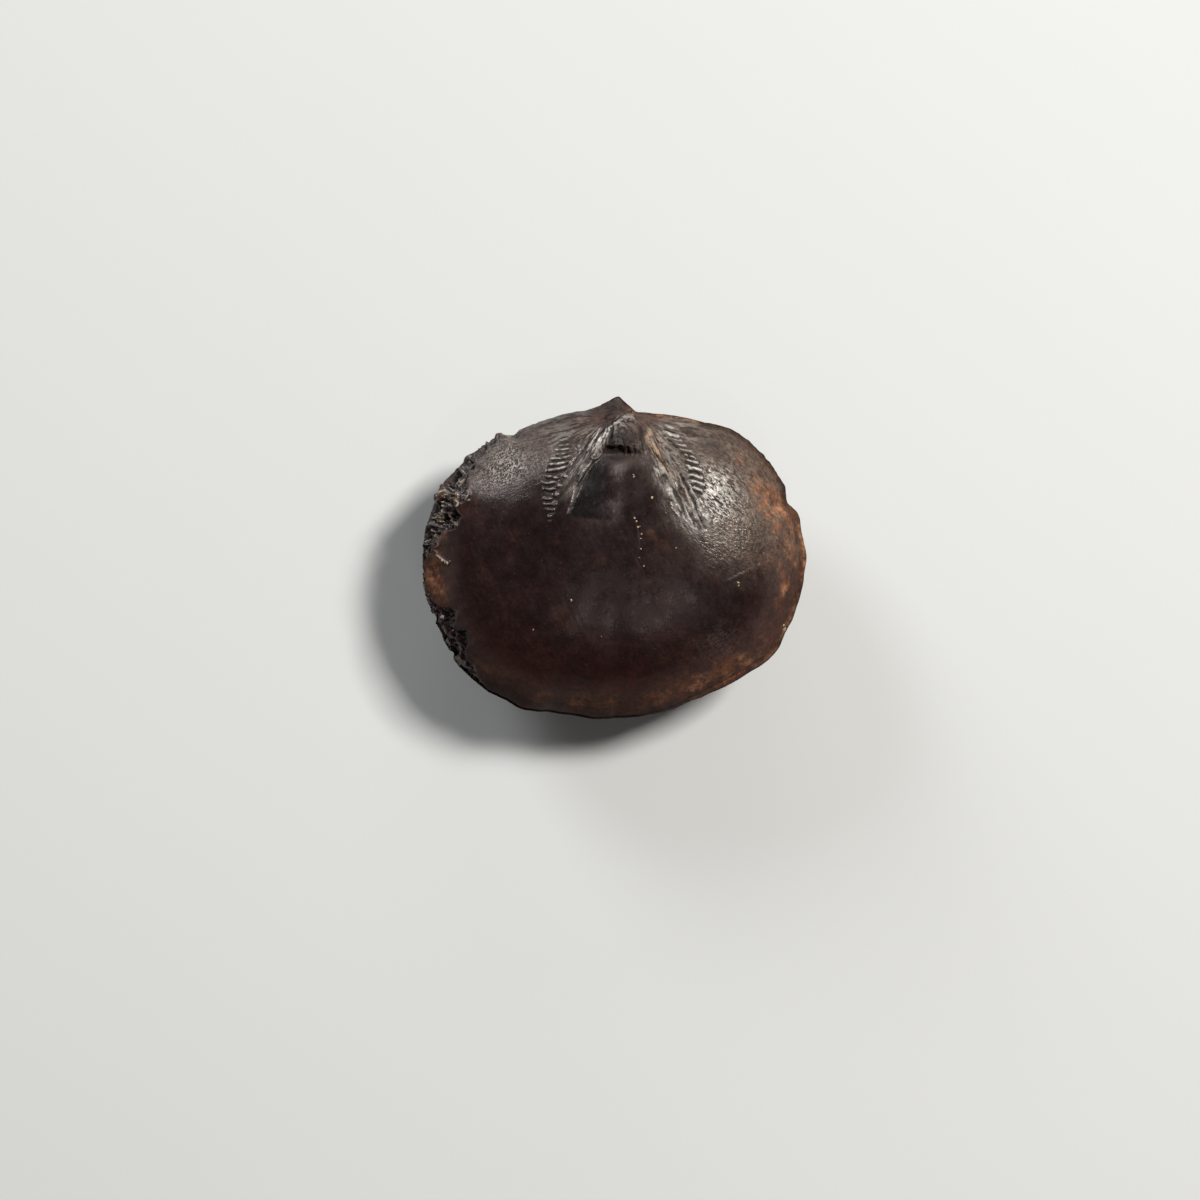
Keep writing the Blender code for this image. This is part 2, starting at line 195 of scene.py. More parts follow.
def curve(points: Line, parts: int = 4) -> Line:
    """Rounds a run of points off with a spline through all of them.

    Args:
        points: the run, two points or more.
        parts: how many short steps each span is split into.

    Returns:
        The points of the rounded run.
    """
    if len(points) < 3:
        return list(points)
    padded = [points[0], *points, points[-1]]
    made = []
    for before, start, end, after in zip(padded, padded[1:], padded[2:], padded[3:]):
        for part in range(parts):
            t = part / parts
            weights = (
                -0.5 * t + t**2 - 0.5 * t**3,
                1 - 2.5 * t**2 + 1.5 * t**3,
                0.5 * t + 2 * t**2 - 1.5 * t**3,
                -0.5 * t**2 + 0.5 * t**3,
            )
            span = (before, start, end, after)
            made.append(tuple(sum(w * p[axis] for w, p in zip(weights, span)) for axis in (0, 1)))
    return [*made, points[-1]]


@dataclass(frozen=True)
class Patch:
    """A soft oval of a form or a finish.

    Attributes:
        centre: plan place of its middle.
        radius: its radii along its own two axes.
        amount: its strength at the middle.
        turn: how far its first axis is turned from +X, in degrees.
    """

    centre: Plan
    radius: Plan
    amount: float = 1.0
    turn: float = 0.0

    def share(self, x: Array, y: Array) -> Array:
        """Gives the patch's strength at each place."""
        return self.amount * hill(x, y, self.centre, self.radius, self.turn)


@dataclass(frozen=True)
class Stroke:
    """One narrow ridge or groove along a line in plan.

    Attributes:
        points: the line, in plan.
        half_width: distance from its middle at which a soft mark has fallen to about a third.
        height: rise of a ridge, or minus the depth of a groove.
        taper: share of the length over which each end fades out.
        bend: how its height falls off.
    """

    points: Line
    half_width: float
    height: float
    taper: float = 0.2
    bend: Bend = Bend.SWOLLEN

    def relief(self, x: Array, y: Array) -> Array:
        """Gives the stroke's height at each place."""
        points = curve(self.points)
        xs, ys = [p[0] for p in points], [p[1] for p in points]
        reach = 2.5 * self.half_width
        near = (x > min(xs) - reach) & (x < max(xs) + reach)
        near &= (y > min(ys) - reach) & (y < max(ys) + reach)
        result = np.zeros(np.shape(x))
        if near.any():
            distance, share = along_line(x[near], y[near], points)
            ends = np.clip(np.minimum(share, 1 - share) / max(self.taper, 1e-3), 0, 1)
            off = distance / self.half_width
            soft = np.exp(-(off**2))
            swollen = np.clip(1 - (off / 1.5) ** 2, 0, 1) ** 1.25
            result[near] = self.height * (swollen if self.bend is Bend.SWOLLEN else soft) * ends**0.6
        return result


@dataclass(frozen=True)
class Rungs:
    """A ladder of short cross ridges beside the umbo, each with a dark gap in front of it.

    Attributes:
        lines: the rungs, from the hinge forwards.
        half_width: of a rung.
        height: of a rung.
        seed: of the small differences between rungs.
    """

    lines: Sequence[Line]
    half_width: float = 0.066
    height: float = 0.062
    seed: int = 5

    def strokes(self) -> list[Stroke]:
        """Gives one ridge and the gap in front of it for each rung."""
        vary = np.random.default_rng(self.seed)
        made: list[Stroke] = []
        for line in self.lines:
            height = self.height * vary.uniform(0.85, 1.15)
            made.append(Stroke(line, self.half_width * vary.uniform(0.9, 1.1), height, 0.16))
            gap = shifted(line, 0.01, -1.70 * self.half_width)
            made.append(Stroke(gap, self.half_width * 0.60, -0.85 * height, 0.18, Bend.SOFT))
        return made


@dataclass(frozen=True)
class Margin:
    """The shell's outline, seen from above.

    Attributes:
        half_width: from the centre to either side.
        hinge_reach: from the centre back to the hinge line.
        front_reach: from the centre to the front.
        centre: about which the outline is drawn.
        square_hinge: squareness of the back quarters, left and right.
        square_front: squareness of the front quarters, left and right.
        swells: angle in degrees, rise (minus for a hollow) and half-width in degrees of each broad swell.
        beak_x: place of the beak's tip across the shell.
        beak_rise: how far the beak stands out behind the hinge line.
        beak_half_widths: of its base, left and right.
        beak_bluntness: rounding of its tip.
        nicks: angle in degrees, depth (minus for a lump) and half-width in degrees of each break.
        roughness: height of the broad unevenness.
        raggedness: height of the fine unevenness, where it is strongest.
        level: height of the margin at the sides.
        front_dip: how far it dips at the front.
        beak_lift: how far it lifts at the beak.
        growth_lines: share of the way from crown to margin at which each growth line runs.
    """

    half_width: float = 7.46
    hinge_reach: float = 5.72
    front_reach: float = 6.2
    centre: Plan = (0.0, -0.05)
    square_hinge: tuple[float, float] = (2.15, 2.38)
    square_front: tuple[float, float] = (2.2, 2.02)
    swells: Sequence[tuple[float, float, float]] = (
        (23.0, -0.15, 9.0),
        (47.0, 0.17, 7.0),
        (104.0, 0.10, 7.0),
        (138.0, 0.08, 5.0),
        (157.0, 0.12, 7.0),
        (178.0, 0.05, 12.0),
        (214.0, 0.13, 5.5),
        (225.0, 0.22, 7.0),
        (239.0, 0.22, 7.0),
        (263.0, 0.09, 6.0),
        (302.0, -0.13, 12.0),
        (329.0, 0.20, 6.5),
        (342.0, 0.05, 4.0),
    )
    beak_x: float = 0.17
    beak_rise: float = 0.57
    beak_half_widths: tuple[float, float] = (1.3, 0.72)
    beak_bluntness: float = 0.08
    nicks: Sequence[tuple[float, float, float]] = (
        (198.2, 0.13, 1.2),
        (203.0, 0.05, 2.0),
        (210.3, 0.14, 1.0),
        (18.0, 0.22, 2.6),
        (8.0, 0.07, 3.0),
        (1.0, -0.07, 2.5),
        (128.8, 0.12, 1.8),
        (133.3, -0.11, 1.3),
        (145.5, -0.16, 2.2),
    )
    roughness: float = 0.035
    raggedness: float = 0.03
    level: float = 3.45
    front_dip: float = 0.3
    beak_lift: float = 0.45
    growth_lines: Sequence[float] = (0.80, 0.89, 0.955)

    def smooth_reach(self, angle: Array) -> Array:
        """Gives the distance from the centre to the unbroken, beakless margin."""
        across, along = np.cos(angle), np.sin(angle)
        right, hinge = smoothstep(-0.3, 0.3, across), smoothstep(-0.3, 0.3, along)
        back = self.square_hinge[0] + right * (self.square_hinge[1] - self.square_hinge[0])
        front = self.square_front[0] + right * (self.square_front[1] - self.square_front[0])
        squareness = front + hinge * (back - front)
        depth = np.where(along >= 0, self.hinge_reach, self.front_reach)
        total = np.abs(across / self.half_width) ** squareness + np.abs(along / depth) ** squareness
        reach = total ** (-1 / squareness)
        for degrees, rise, half_width in self.swells:
            reach = reach + rise * np.exp(-((angle_gap(angle, degrees) / half_width) ** 2))
        return reach

    def beaked_reach(self, angle: Array) -> Array:
        """Gives the distance from the centre to the margin with its beak and nothing broken off."""
        reach = self.smooth_reach(angle)
        beside = reach * np.cos(angle) + self.centre[0] - self.beak_x
        half = np.where(beside >= 0, self.beak_half_widths[1], self.beak_half_widths[0])
        blunt = self.beak_bluntness
        gone = np.sqrt((beside / half) ** 2 + blunt**2) - blunt
        cusp = np.where(np.sin(angle) > 0, np.clip(1 - gone, 0, 1), 0)
        return reach + self.beak_rise * cusp**1.4

    def broken_reach(self, angle: Array) -> Array:
        """Gives the distance from the centre to the true margin, with its beak, nicks and lumps."""
        reach = self.beaked_reach(angle)
        for degrees, depth, half_width in self.nicks:
            reach = reach - depth * np.exp(-((angle_gap(angle, degrees) / half_width) ** 2))
        circle = np.stack([np.cos(angle) * 14, np.sin(angle) * 14, np.zeros_like(angle)], axis=-1)
        fine = grain(circle * 3.1, 1.0, 9.1)
        ragged = 0.35 + 1.00 * np.exp(-((angle_gap(angle, 172) / 38) ** 2))
        ragged = ragged + 1.6 * np.exp(-((angle_gap(angle, 33) / 15) ** 2))
        return reach + self.roughness * grain(circle, 1.0, 3.7) + self.raggedness * ragged * fine

    def points(self, angle: Array) -> tuple[Array, Array]:
        """Gives the margin's plan x and y at each angle about the centre."""
        reach = self.broken_reach(angle)
        return self.centre[0] + reach * np.cos(angle), self.centre[1] + reach * np.sin(angle)

    def angle(self, x: Array, y: Array) -> Array:
        """Gives the plan angle of each place about the centre."""
        return np.arctan2(y - self.centre[1], x - self.centre[0])

    def inside(self, x: Array, y: Array) -> Array:
        """Gives how far in from the margin each place lies, along the ray to the centre."""
        return self.broken_reach(self.angle(x, y)) - np.hypot(x - self.centre[0], y - self.centre[1])

    def ledges(self, share: Array, rise: float, soft: Plan) -> Array:
        """Gives the steps of the growth lines.

        Args:
            share: 0 at a valve's crown and 1 at the margin, for each place.
            rise: height of a step.
            soft: how far a step reaches inwards and outwards from its line.

        Returns:
            The height at each place: all steps inside the innermost line, none at the margin or crown.
        """
        steps = sum(rise * (1 - smoothstep(at - soft[0], at + soft[1], share)) for at in self.growth_lines)
        return steps * smoothstep(0.3, 0.7, share)

    def table(self, crown: Plan, reach_of: Callable[[Array], Array]) -> tuple[Array, Array]:
        """Gives bearings about a crown, in order, and the distance to an outline along each."""
        angle = np.linspace(0, TAU, 2881)[:-1]
        reach = reach_of(angle)
        edge_x = self.centre[0] + reach * np.cos(angle) - crown[0]
        edge_y = self.centre[1] + reach * np.sin(angle) - crown[1]
        bearing = np.arctan2(edge_y, edge_x)
        order = np.argsort(bearing)
        return bearing[order], np.hypot(edge_x, edge_y)[order]

    def share(self, x: Array, y: Array, crown: Plan) -> Array:
        """Gives 0 at a valve's crown and 1 at the margin, along the ray between them.

        Args:
            x: plan x of each place.
            y: plan y of each place.
            crown: the valve's highest place.

        Returns:
            The share at each place. The beak only counts in the outer half, and nicks only close
            to the margin, so the dome inside stays smooth.
        """
        bearing = np.arctan2(y - crown[1], x - crown[0])
        radius = np.hypot(x - crown[0], y - crown[1])
        smooth, beaked, broken = (
            np.interp(bearing, *self.table(crown, reach_of), period=TAU)
            for reach_of in (self.smooth_reach, self.beaked_reach, self.broken_reach)
        )
        at_beak = smoothstep(0.5, 1.0, radius / smooth)
        at_nicks = smoothstep(0.78, 0.94, radius / smooth)
        return radius / (smooth + at_beak * (beaked - smooth) + at_nicks * (broken - beaked))

    def height(self, angle: Array) -> Array:
        """Gives the margin's height: it dips at the front and lifts at the beak."""
        dip = self.front_dip * np.exp(-((angle_gap(angle, 266) / 26) ** 2))
        lift = self.beak_lift * np.exp(-((angle_gap(angle, 89) / 7) ** 2))
        return self.level - dip + lift


@dataclass(frozen=True)
class UpperValve:
    """The brachial valve's broad form: its dome, umbo and sunk muscle field.

    Attributes:
        margin: the shell's outline.
        rise: of the crown over the margin.
        crown: plan place of the highest point.
        fullness: power of the dome's profile; lower is fuller.
        rim_width: of the flat rim, where it is widest.
        ledge_rise: height of a growth ledge.
        trough_depth: of the trough that widens from the umbo to the front.
        knob_rise: of the umbo's knob over the dome.
        field_depth: how far the fan-shaped muscle field is sunk.
        hollows: the recess in front of the knob and the scar on the left margin.
        left_ridge: the line that bounds the muscle field on the left, from the umbo forwards.
        right_ridge: the same on the right.
    """

    margin: Margin
    rise: float = 3.05
    crown: Plan = (0.1, 1.0)
    fullness: float = 0.62
    rim_width: float = 0.2
    ledge_rise: float = 0.03
    trough_depth: float = 0.22
    knob_rise: float = 0.34
    field_depth: float = 0.15
    hollows: Sequence[Patch] = (
        Patch((-0.02, 3.92), (0.46, 0.19), 0.13),
        Patch((0.15, 3.80), (0.75, 0.45), 0.03),
        Patch((-6.85, -0.62), (0.55, 1.0), 0.28),
    )
    left_ridge: Line = ((-0.30, 4.30), (-0.95, 3.45), (-1.65, 2.45), (-2.05, 1.30))
    right_ridge: Line = ((1.32, 4.85), (1.55, 4.10), (2.15, 3.40), (2.80, 2.50), (3.45, 1.20))

    def in_field(self, x: Array, y: Array) -> Array:
        """Gives 1 in the sunk fan between the two ridges and 0 outside it."""
        left, right = (
            np.interp(-y, [-place[1] for place in ridge], [place[0] for place in ridge])
            for ridge in (self.left_ridge, self.right_ridge)
        )
        inside = smoothstep(-0.2, 0.2, x - left) * smoothstep(-0.2, 0.2, right - x)
        return inside * smoothstep(1.9, 3.4, y) * (1 - smoothstep(4.1, 4.5, y))

    def height(self, x: Array, y: Array) -> Array:
        """Gives the height over the margin.

        Args:
            x: plan x of each place.
            y: plan y of each place.

        Returns:
            Height in millimetres, 0 at the margin.
        """
        share = self.margin.share(x, y, self.crown)
        turn = angle_gap(self.margin.angle(x, y), 0)
        rim = 0.35 * smoothstep(-175, -125, turn) + 0.65 * smoothstep(-75, -45, turn)
        rim = self.rim_width * rim * (1 - smoothstep(70, 100, turn))
        inner = np.clip(share / (1 - rim / 6.5), 0, 1)
        height = self.rise * np.clip(1 - inner**2, 0, 1) ** self.fullness
        height = height + self.margin.ledges(share, self.ledge_rise, (0.03, 0.02))

        grown = np.clip((4.95 - y) / 10, 0, 1)
        trough = self.trough_depth * np.exp(-(((x - 0.3) / (0.5 + grown * 3.0)) ** 2))
        height = height - trough * smoothstep(0.02, 0.25, grown) * (1 - share**4)
        front = 4.09 + 0.04 * np.sin(5 * x)
        knob = smoothstep(front - 0.14, front + 0.16, y) * (1 - smoothstep(4.75, 5.75, y))
        height = height + self.knob_rise * knob * np.exp(-(((x - 0.42) / 0.72) ** 2))
        height = height - self.field_depth * self.in_field(x, y)
        return np.maximum(height - sum(hollow.share(x, y) for hollow in self.hollows), 0)


@dataclass(frozen=True)
class LowerValve:
    """The pedicle valve: a deeper bowl with a swollen umbo.

    Attributes:
        margin: the shell's outline.
        depth: of the crown under the margin.
        crown: plan place of the lowest point.
        fullness: power of the bowl's profile.
        ledge_rise: height of a growth ledge.
        umbo: its swelling towards the beak.
    """

    margin: Margin
    depth: float = 3.63
    crown: Plan = (0.05, 0.45)
    fullness: float = 0.61
    ledge_rise: float = 0.07
    umbo: Patch = Patch((0.15, 3.4), (2.2, 2.0), 0.2)

    def height(self, x: Array, y: Array) -> Array:
        """Gives the bowl's depth under the margin, as a positive number."""
        share = self.margin.share(x, y, self.crown)
        depth = self.depth * np.clip(1 - share**2, 0, 1) ** self.fullness
        depth = depth + self.margin.ledges(share, self.ledge_rise, (0.012, 0.004))
        return depth + self.umbo.share(x, y) * (1 - share**3)


@dataclass
class SurfaceDetail:
    """Fine relief of the upper valve, measured along the surface's normal.

    Attributes:
        margin: the shell's outline.
        left_rungs: the ladder left of the umbo.
        right_rungs: the ladder right of the umbo.
        flake_widths: plan angle in degrees and width there of the strip that has flaked away.
        least_flake: least width of that strip.
        seed: of the small differences between marks.
        strokes: every ridge and groove, collected once.
    """

    margin: Margin
    left_rungs: Rungs = Rungs(
        lines=(
            ((-2.17, 4.72), (-2.02, 4.78), (-1.78, 4.83)),
            ((-2.19, 4.52), (-1.97, 4.56), (-1.74, 4.60)),
            ((-2.25, 4.34), (-2.04, 4.36), (-1.78, 4.39), (-1.59, 4.50)),
            ((-2.36, 4.19), (-2.14, 4.19), (-1.91, 4.20), (-1.63, 4.25)),
            ((-2.33, 4.03), (-2.08, 4.03), (-1.83, 4.08), (-1.57, 4.17)),
            ((-2.55, 3.82), (-2.31, 3.85), (-2.06, 3.86), (-1.83, 3.91), (-1.59, 4.02)),
            ((-2.58, 3.59), (-2.38, 3.63), (-2.12, 3.65), (-1.91, 3.70), (-1.71, 3.80)),
            ((-2.62, 3.38), (-2.42, 3.40), (-2.17, 3.43), (-1.97, 3.49), (-1.76, 3.60)),
            ((-2.71, 3.12), (-2.51, 3.15), (-2.29, 3.11), (-2.17, 3.16)),
            ((-2.80, 2.93), (-2.63, 2.89), (-2.42, 2.92), (-2.23, 2.97)),
            ((-2.70, 2.70), (-2.51, 2.64), (-2.28, 2.70)),
            ((-2.73, 2.32), (-2.58, 2.27), (-2.41, 2.32)),
            ((-2.70, 2.05), (-2.51, 2.08), (-2.23, 2.04)),
            ((-2.51, 1.83), (-2.40, 1.86), (-2.30, 1.84)),
            ((-2.56, 1.58), (-2.41, 1.60)),
        ),
    )
    right_rungs: Rungs = Rungs(
        lines=(
            ((1.94, 5.14), (2.16, 5.06), (2.40, 4.95)),
            ((1.83, 4.94), (2.08, 4.81), (2.33, 4.73), (2.61, 4.64)),
            ((2.03, 4.76), (2.32, 4.61), (2.48, 4.56), (2.71, 4.50)),
            ((2.25, 4.57), (2.47, 4.42), (2.67, 4.36), (2.90, 4.30)),
            ((2.52, 4.31), (2.60, 4.22), (2.79, 4.16), (3.16, 4.07)),
            ((2.72, 4.04), (2.90, 3.96), (3.21, 3.90)),
            ((2.72, 3.88), (2.87, 3.79), (3.10, 3.70), (3.37, 3.63)),
            ((2.88, 3.44), (3.10, 3.46), (3.26, 3.42), (3.46, 3.34)),
            ((2.86, 3.19), (3.06, 3.20), (3.29, 3.11), (3.56, 3.05)),
            ((2.97, 2.97), (3.21, 2.94), (3.39, 2.86), (3.61, 2.78)),
            ((3.06, 2.76), (3.21, 2.67), (3.47, 2.56)),
        ),
        height=0.080,
        seed=8,
    )
    flake_widths: Sequence[Plan] = (
        (118, 0.0), (128, 0.2), (138, 0.35), (148, 0.65), (154, 0.9), (159, 1.2), (168, 1.25), (173, 0.8),
        (178, 0.6), (182, 0.1), (189, 0.1), (193, 0.45), (199, 0.8), (206, 0.85), (211, 0.65), (216, 0.5),
        (221, 0.25), (227, 0.0),
    )
    least_flake: float = 0.02
    seed: int = 21
    strokes: list[Stroke] = field(default_factory=list)

    def __post_init__(self) -> None:
        """Collects every ridge and groove once."""
        self.strokes += self.left_rungs.strokes() + self.right_rungs.strokes()
        self.strokes += self.beads() + self.flank_streaks() + self.field_borders() + self.umbo_marks()
        self.strokes += self.hinge_wrinkles() + self.fan_lines() + self.right_fissures()
        self.strokes += self.scratches() + self.left_teeth()

    def laid_out(self, base: Array) -> tuple[Array, Array]:
        """Gives the plan place, at the margin's level, that each point covers as seen from the eye."""
        spread = EYE_DISTANCE / (EYE_DISTANCE - (base[:, 2] - self.margin.level))
        return EYE[0] + (base[:, 0] - EYE[0]) * spread, EYE[1] + (base[:, 1] - EYE[1]) * spread

    def beads(self) -> list[Stroke]:
        """Gives the short oblique beads that follow the inner ends of the rungs."""
        left = ((-1.89, 3.18), (-2.12, 2.80), (-2.23, 2.45), (-2.31, 2.14), (-1.69, 3.68), (-1.34, 3.03))
        right = (
            (2.01, 4.40), (2.29, 4.07), (2.40, 4.01), (2.32, 3.68), (2.51, 3.64), (2.90, 3.56), (2.76, 3.14),
        )
        return [
            *(Stroke(((x - 0.05, y - 0.07), (x + 0.05, y + 0.06)), 0.065, 0.08, 0.1) for x, y in left),
            *(Stroke(((x - 0.08, y + 0.06), (x + 0.07, y - 0.06)), 0.058, 0.07, 0.1) for x, y in right),
        ]

    def flank_streaks(self) -> list[Stroke]:
        """Gives the streaks that run down the umbo's left flank and turn into the rungs."""
        lines = (
            ((-1.63, 4.45), (-1.56, 4.54), (-1.38, 4.67), (-1.19, 4.71)),
            ((-1.46, 4.24), (-1.36, 4.37), (-1.25, 4.56), (-1.18, 4.67)),
            ((-1.27, 4.22), (-1.19, 4.37), (-1.06, 4.59), (-0.88, 4.84)),
            ((-1.40, 4.05), (-1.30, 4.20), (-1.24, 4.31)),
            ((-1.78, 3.61), (-1.68, 3.70), (-1.57, 3.86), (-1.52, 3.93)),
            ((-0.87, 4.31), (-0.81, 4.54), (-0.74, 4.74)),
            ((-0.61, 4.45), (-0.54, 4.56), (-0.51, 4.67)),
            ((-1.06, 4.07), (-0.97, 4.24), (-0.91, 4.45)),
            ((-0.64, 4.79), (-0.55, 4.96), (-0.46, 5.13)),
        )
        bright = (
            ((-0.34, 4.40), (-0.25, 4.67), (-0.17, 4.92), (-0.13, 5.22)),
            ((-0.49, 4.52), (-0.36, 4.71), (-0.29, 4.88), (-0.25, 5.09)),
            ((-0.44, 4.36), (-0.34, 4.52), (-0.30, 4.62)),
        )
        return [
            *(Stroke(line, 0.052, 0.060, 0.25) for line in lines),
            *(Stroke(shifted(line, 0.09, -0.04), 0.036, -0.05, 0.2, Bend.SOFT) for line in lines),
            *(Stroke(line, 0.055, 0.065, 0.2) for line in bright),
            Stroke(shifted(bright[0], 0.11, 0.0), 0.05, -0.06, 0.2, Bend.SOFT),
        ]

    def field_borders(self) -> list[Stroke]:
        """Gives the raised borders of the muscle field and the loop at the top of the left one."""
        outer = ((-0.84, 3.77), (-0.98, 3.60), (-1.12, 3.41), (-1.23, 3.18), (-1.36, 3.01))
        inner = ((-1.04, 3.66), (-1.18, 3.51), (-1.27, 3.31), (-1.40, 3.13))
        loop = (
            (-0.49, 4.25), (-0.50, 4.07), (-0.57, 3.94), (-0.69, 3.85), (-0.81, 3.83), (-0.87, 3.88),
            (-0.81, 3.95), (-0.67, 3.98),
        )
        lower = ((-1.36, 3.01), (-1.48, 2.71), (-1.60, 2.40), (-1.72, 2.00))
        left_gap = ((-0.62, 3.80), (-0.90, 3.52), (-1.20, 3.02), (-1.50, 2.35), (-1.76, 1.66))
        right_gap = ((1.25, 4.05), (1.62, 3.60), (2.00, 3.05), (2.40, 2.45), (2.75, 1.80))
        tan = ((1.34, 5.12), (1.36, 4.89), (1.41, 4.58), (1.55, 4.23), (1.77, 3.93), (1.97, 3.64))
        tan_end = ((1.97, 3.64), (2.17, 3.36), (2.38, 3.05), (2.59, 2.71))
        far = ((2.62, 2.80), (2.86, 2.40), (3.10, 1.95), (3.30, 1.50), (3.42, 1.10), (3.48, 0.60))
        return [
            Stroke(outer, 0.052, 0.065, 0.2),
            Stroke(inner, 0.045, 0.055, 0.25),
            Stroke(loop, 0.046, 0.070, 0.05),
            Stroke(lower, 0.050, 0.020, 0.3),
            Stroke(left_gap, 0.05, -0.06, 0.12, Bend.SOFT),
            Stroke(tan, 0.110, 0.085, 0.12),
            Stroke(tan_end, 0.085, 0.07, 0.15),
            Stroke(shifted((*tan[2:], *tan_end[1:]), -0.13, -0.06), 0.035, 0.05, 0.25),
            Stroke(((1.47, 4.26), (1.69, 3.95), (1.89, 3.62), (2.12, 3.25)), 0.035, -0.05, 0.2, Bend.SOFT),
            Stroke(far, 0.070, 0.05, 0.35),
            Stroke(right_gap, 0.07, -0.05, 0.25, Bend.SOFT),
        ]

    def umbo_marks(self) -> list[Stroke]:
        """Gives the cap and cracks of the umbo and the bars in the recess below it."""
        crack = (
            (-0.16, 5.20), (0.01, 5.35), (0.17, 5.43), (0.30, 5.52), (0.48, 5.60), (0.68, 5.69), (0.80, 5.78),
        )
        cap = ((0.42, 5.34), (0.40, 5.48), (0.52, 5.58), (0.66, 5.55), (0.75, 5.42), (0.79, 5.26))
        side = ((0.84, 5.30), (0.93, 4.96), (0.84, 4.62))
        bars = (
            ((0.44, 4.33), (0.44, 3.99)),
            ((0.68, 4.24), (0.70, 3.94)),
            ((0.93, 4.54), (1.00, 4.11)),
            ((1.19, 4.48), (1.22, 4.16)),
            ((1.06, 4.16), (1.10, 3.90)),
        )
        knob = (
            ((0.12, 5.20), (0.22, 5.02), (0.20, 4.84)),
            ((0.36, 5.22), (0.44, 5.06), (0.60, 4.98)),
            ((0.58, 5.30), (0.62, 5.14), (0.74, 5.04)),
            ((-0.08, 4.45), (0.01, 4.56), (0.09, 4.57)),
            ((0.30, 4.72), (0.42, 4.62), (0.56, 4.66)),
        )
        beak = (
            ((-0.62, 5.42), (-0.36, 5.56), (-0.10, 5.66), (0.06, 5.74)),
            ((-0.42, 5.68), (-0.20, 5.80), (0.02, 5.92)),
            ((0.16, 5.64), (0.22, 5.80), (0.30, 5.94)),
            ((-0.22, 5.42), (-0.04, 5.54), (0.12, 5.60)),
        )
        return [
            *(Stroke(line, 0.045, 0.035, 0.25) for line in beak),
            *(Stroke(shifted(line, 0.02, -0.09), 0.035, -0.04, 0.25, Bend.SOFT) for line in beak),
            Stroke(crack, 0.034, -0.07, 0.08, Bend.SOFT),
            Stroke(shifted(crack[1:], -0.03, 0.10), 0.05, 0.03, 0.2),
            Stroke(cap, 0.042, 0.060, 0.12),
            Stroke(((0.58, 5.42), (0.62, 5.32)), 0.05, -0.05, 0.1, Bend.SOFT),
            Stroke(side, 0.060, 0.04, 0.25),
            Stroke(((1.02, 5.20), (1.10, 4.86), (1.04, 4.52)), 0.06, -0.07, 0.25, Bend.SOFT),
            Stroke(((-0.36, 4.26), (-0.02, 4.20), (0.34, 4.23)), 0.10, -0.12, 0.12, Bend.SOFT),
            Stroke(((0.55, 4.33), (0.55, 4.03)), 0.035, -0.10, 0.15, Bend.SOFT),
            Stroke(((0.80, 4.40), (0.83, 4.00)), 0.035, -0.07, 0.15, Bend.SOFT),
            *(Stroke(line, 0.038, 0.040, 0.25) for line in bars),
            *(Stroke(line, 0.050, 0.03, 0.2) for line in knob),
        ]

    def hinge_wrinkles(self) -> list[Stroke]:
        """Gives the wavy wrinkles that run along the hinge left of the beak."""
        vary = np.random.default_rng(self.seed)
        made: list[Stroke] = []
        for row in range(9):
            x = -2.55 + vary.uniform(-0.15, 0.15)
            while x < -0.72 - 0.03 * row:
                length = vary.uniform(0.32, 0.62)
                middle = x + length / 2
                y = 5.52 - 0.055 * (middle + 0.7) ** 2 - 0.095 * row + vary.normal(0, 0.012)
                tilt = math.radians(13 + 5 * (middle + 1.6) + 1.2 * row + vary.normal(0, 5))
                sag = vary.uniform(0.01, 0.03)
                cos, sin = length * math.cos(tilt), length * math.sin(tilt)
                line = [
                    (middle + t * cos, y + t * sin - sag * math.cos(math.pi * t))
                    for t in (-0.5, -0.2, 0.2, 0.5)
                ]
                if vary.uniform() < 0.85:
                    made.append(Stroke(line, vary.uniform(0.030, 0.038), vary.uniform(0.026, 0.044), 0.35))
                x += length * vary.uniform(0.85, 1.0)
        return made

    def fan_lines(self) -> list[Stroke]:
        """Gives the fine lines that fan out from the right of the beak."""
        vary = np.random.default_rng(self.seed + 2)
        lines = (
            ((1.30, 5.29), (1.54, 5.01), (1.81, 4.73), (2.01, 4.56)),
            ((1.41, 5.28), (1.73, 5.12), (1.94, 4.97)),
            ((1.27, 5.12), (1.47, 4.81), (1.66, 4.62), (1.97, 4.38)),
            ((1.62, 5.28), (1.85, 5.18), (2.10, 5.10)),
            ((1.69, 4.62), (1.97, 4.23), (2.28, 3.91), (2.67, 3.53)),
        )
        made = [Stroke(line, 0.038, 0.060, 0.25) for line in lines]
        for number in range(26):
            share = number / 21
            x = 1.22 + 0.55 * share + vary.normal(0, 0.04)
            y = 5.42 - 0.10 * share - vary.uniform(0, 0.75) * (1 - share)
            tilt = math.radians(-52 + 34 * share + vary.normal(0, 4))
            length = vary.uniform(0.28, 0.60)
            cos, sin = math.cos(tilt), math.sin(tilt)
            line = [
                (x + t * length * cos, y + t * length * sin - 0.03 * math.sin(3 * t))
                for t in (0, 0.33, 0.67, 1)
            ]
            made.append(Stroke(line, 0.032, vary.uniform(0.028, 0.045), 0.3))
        return made

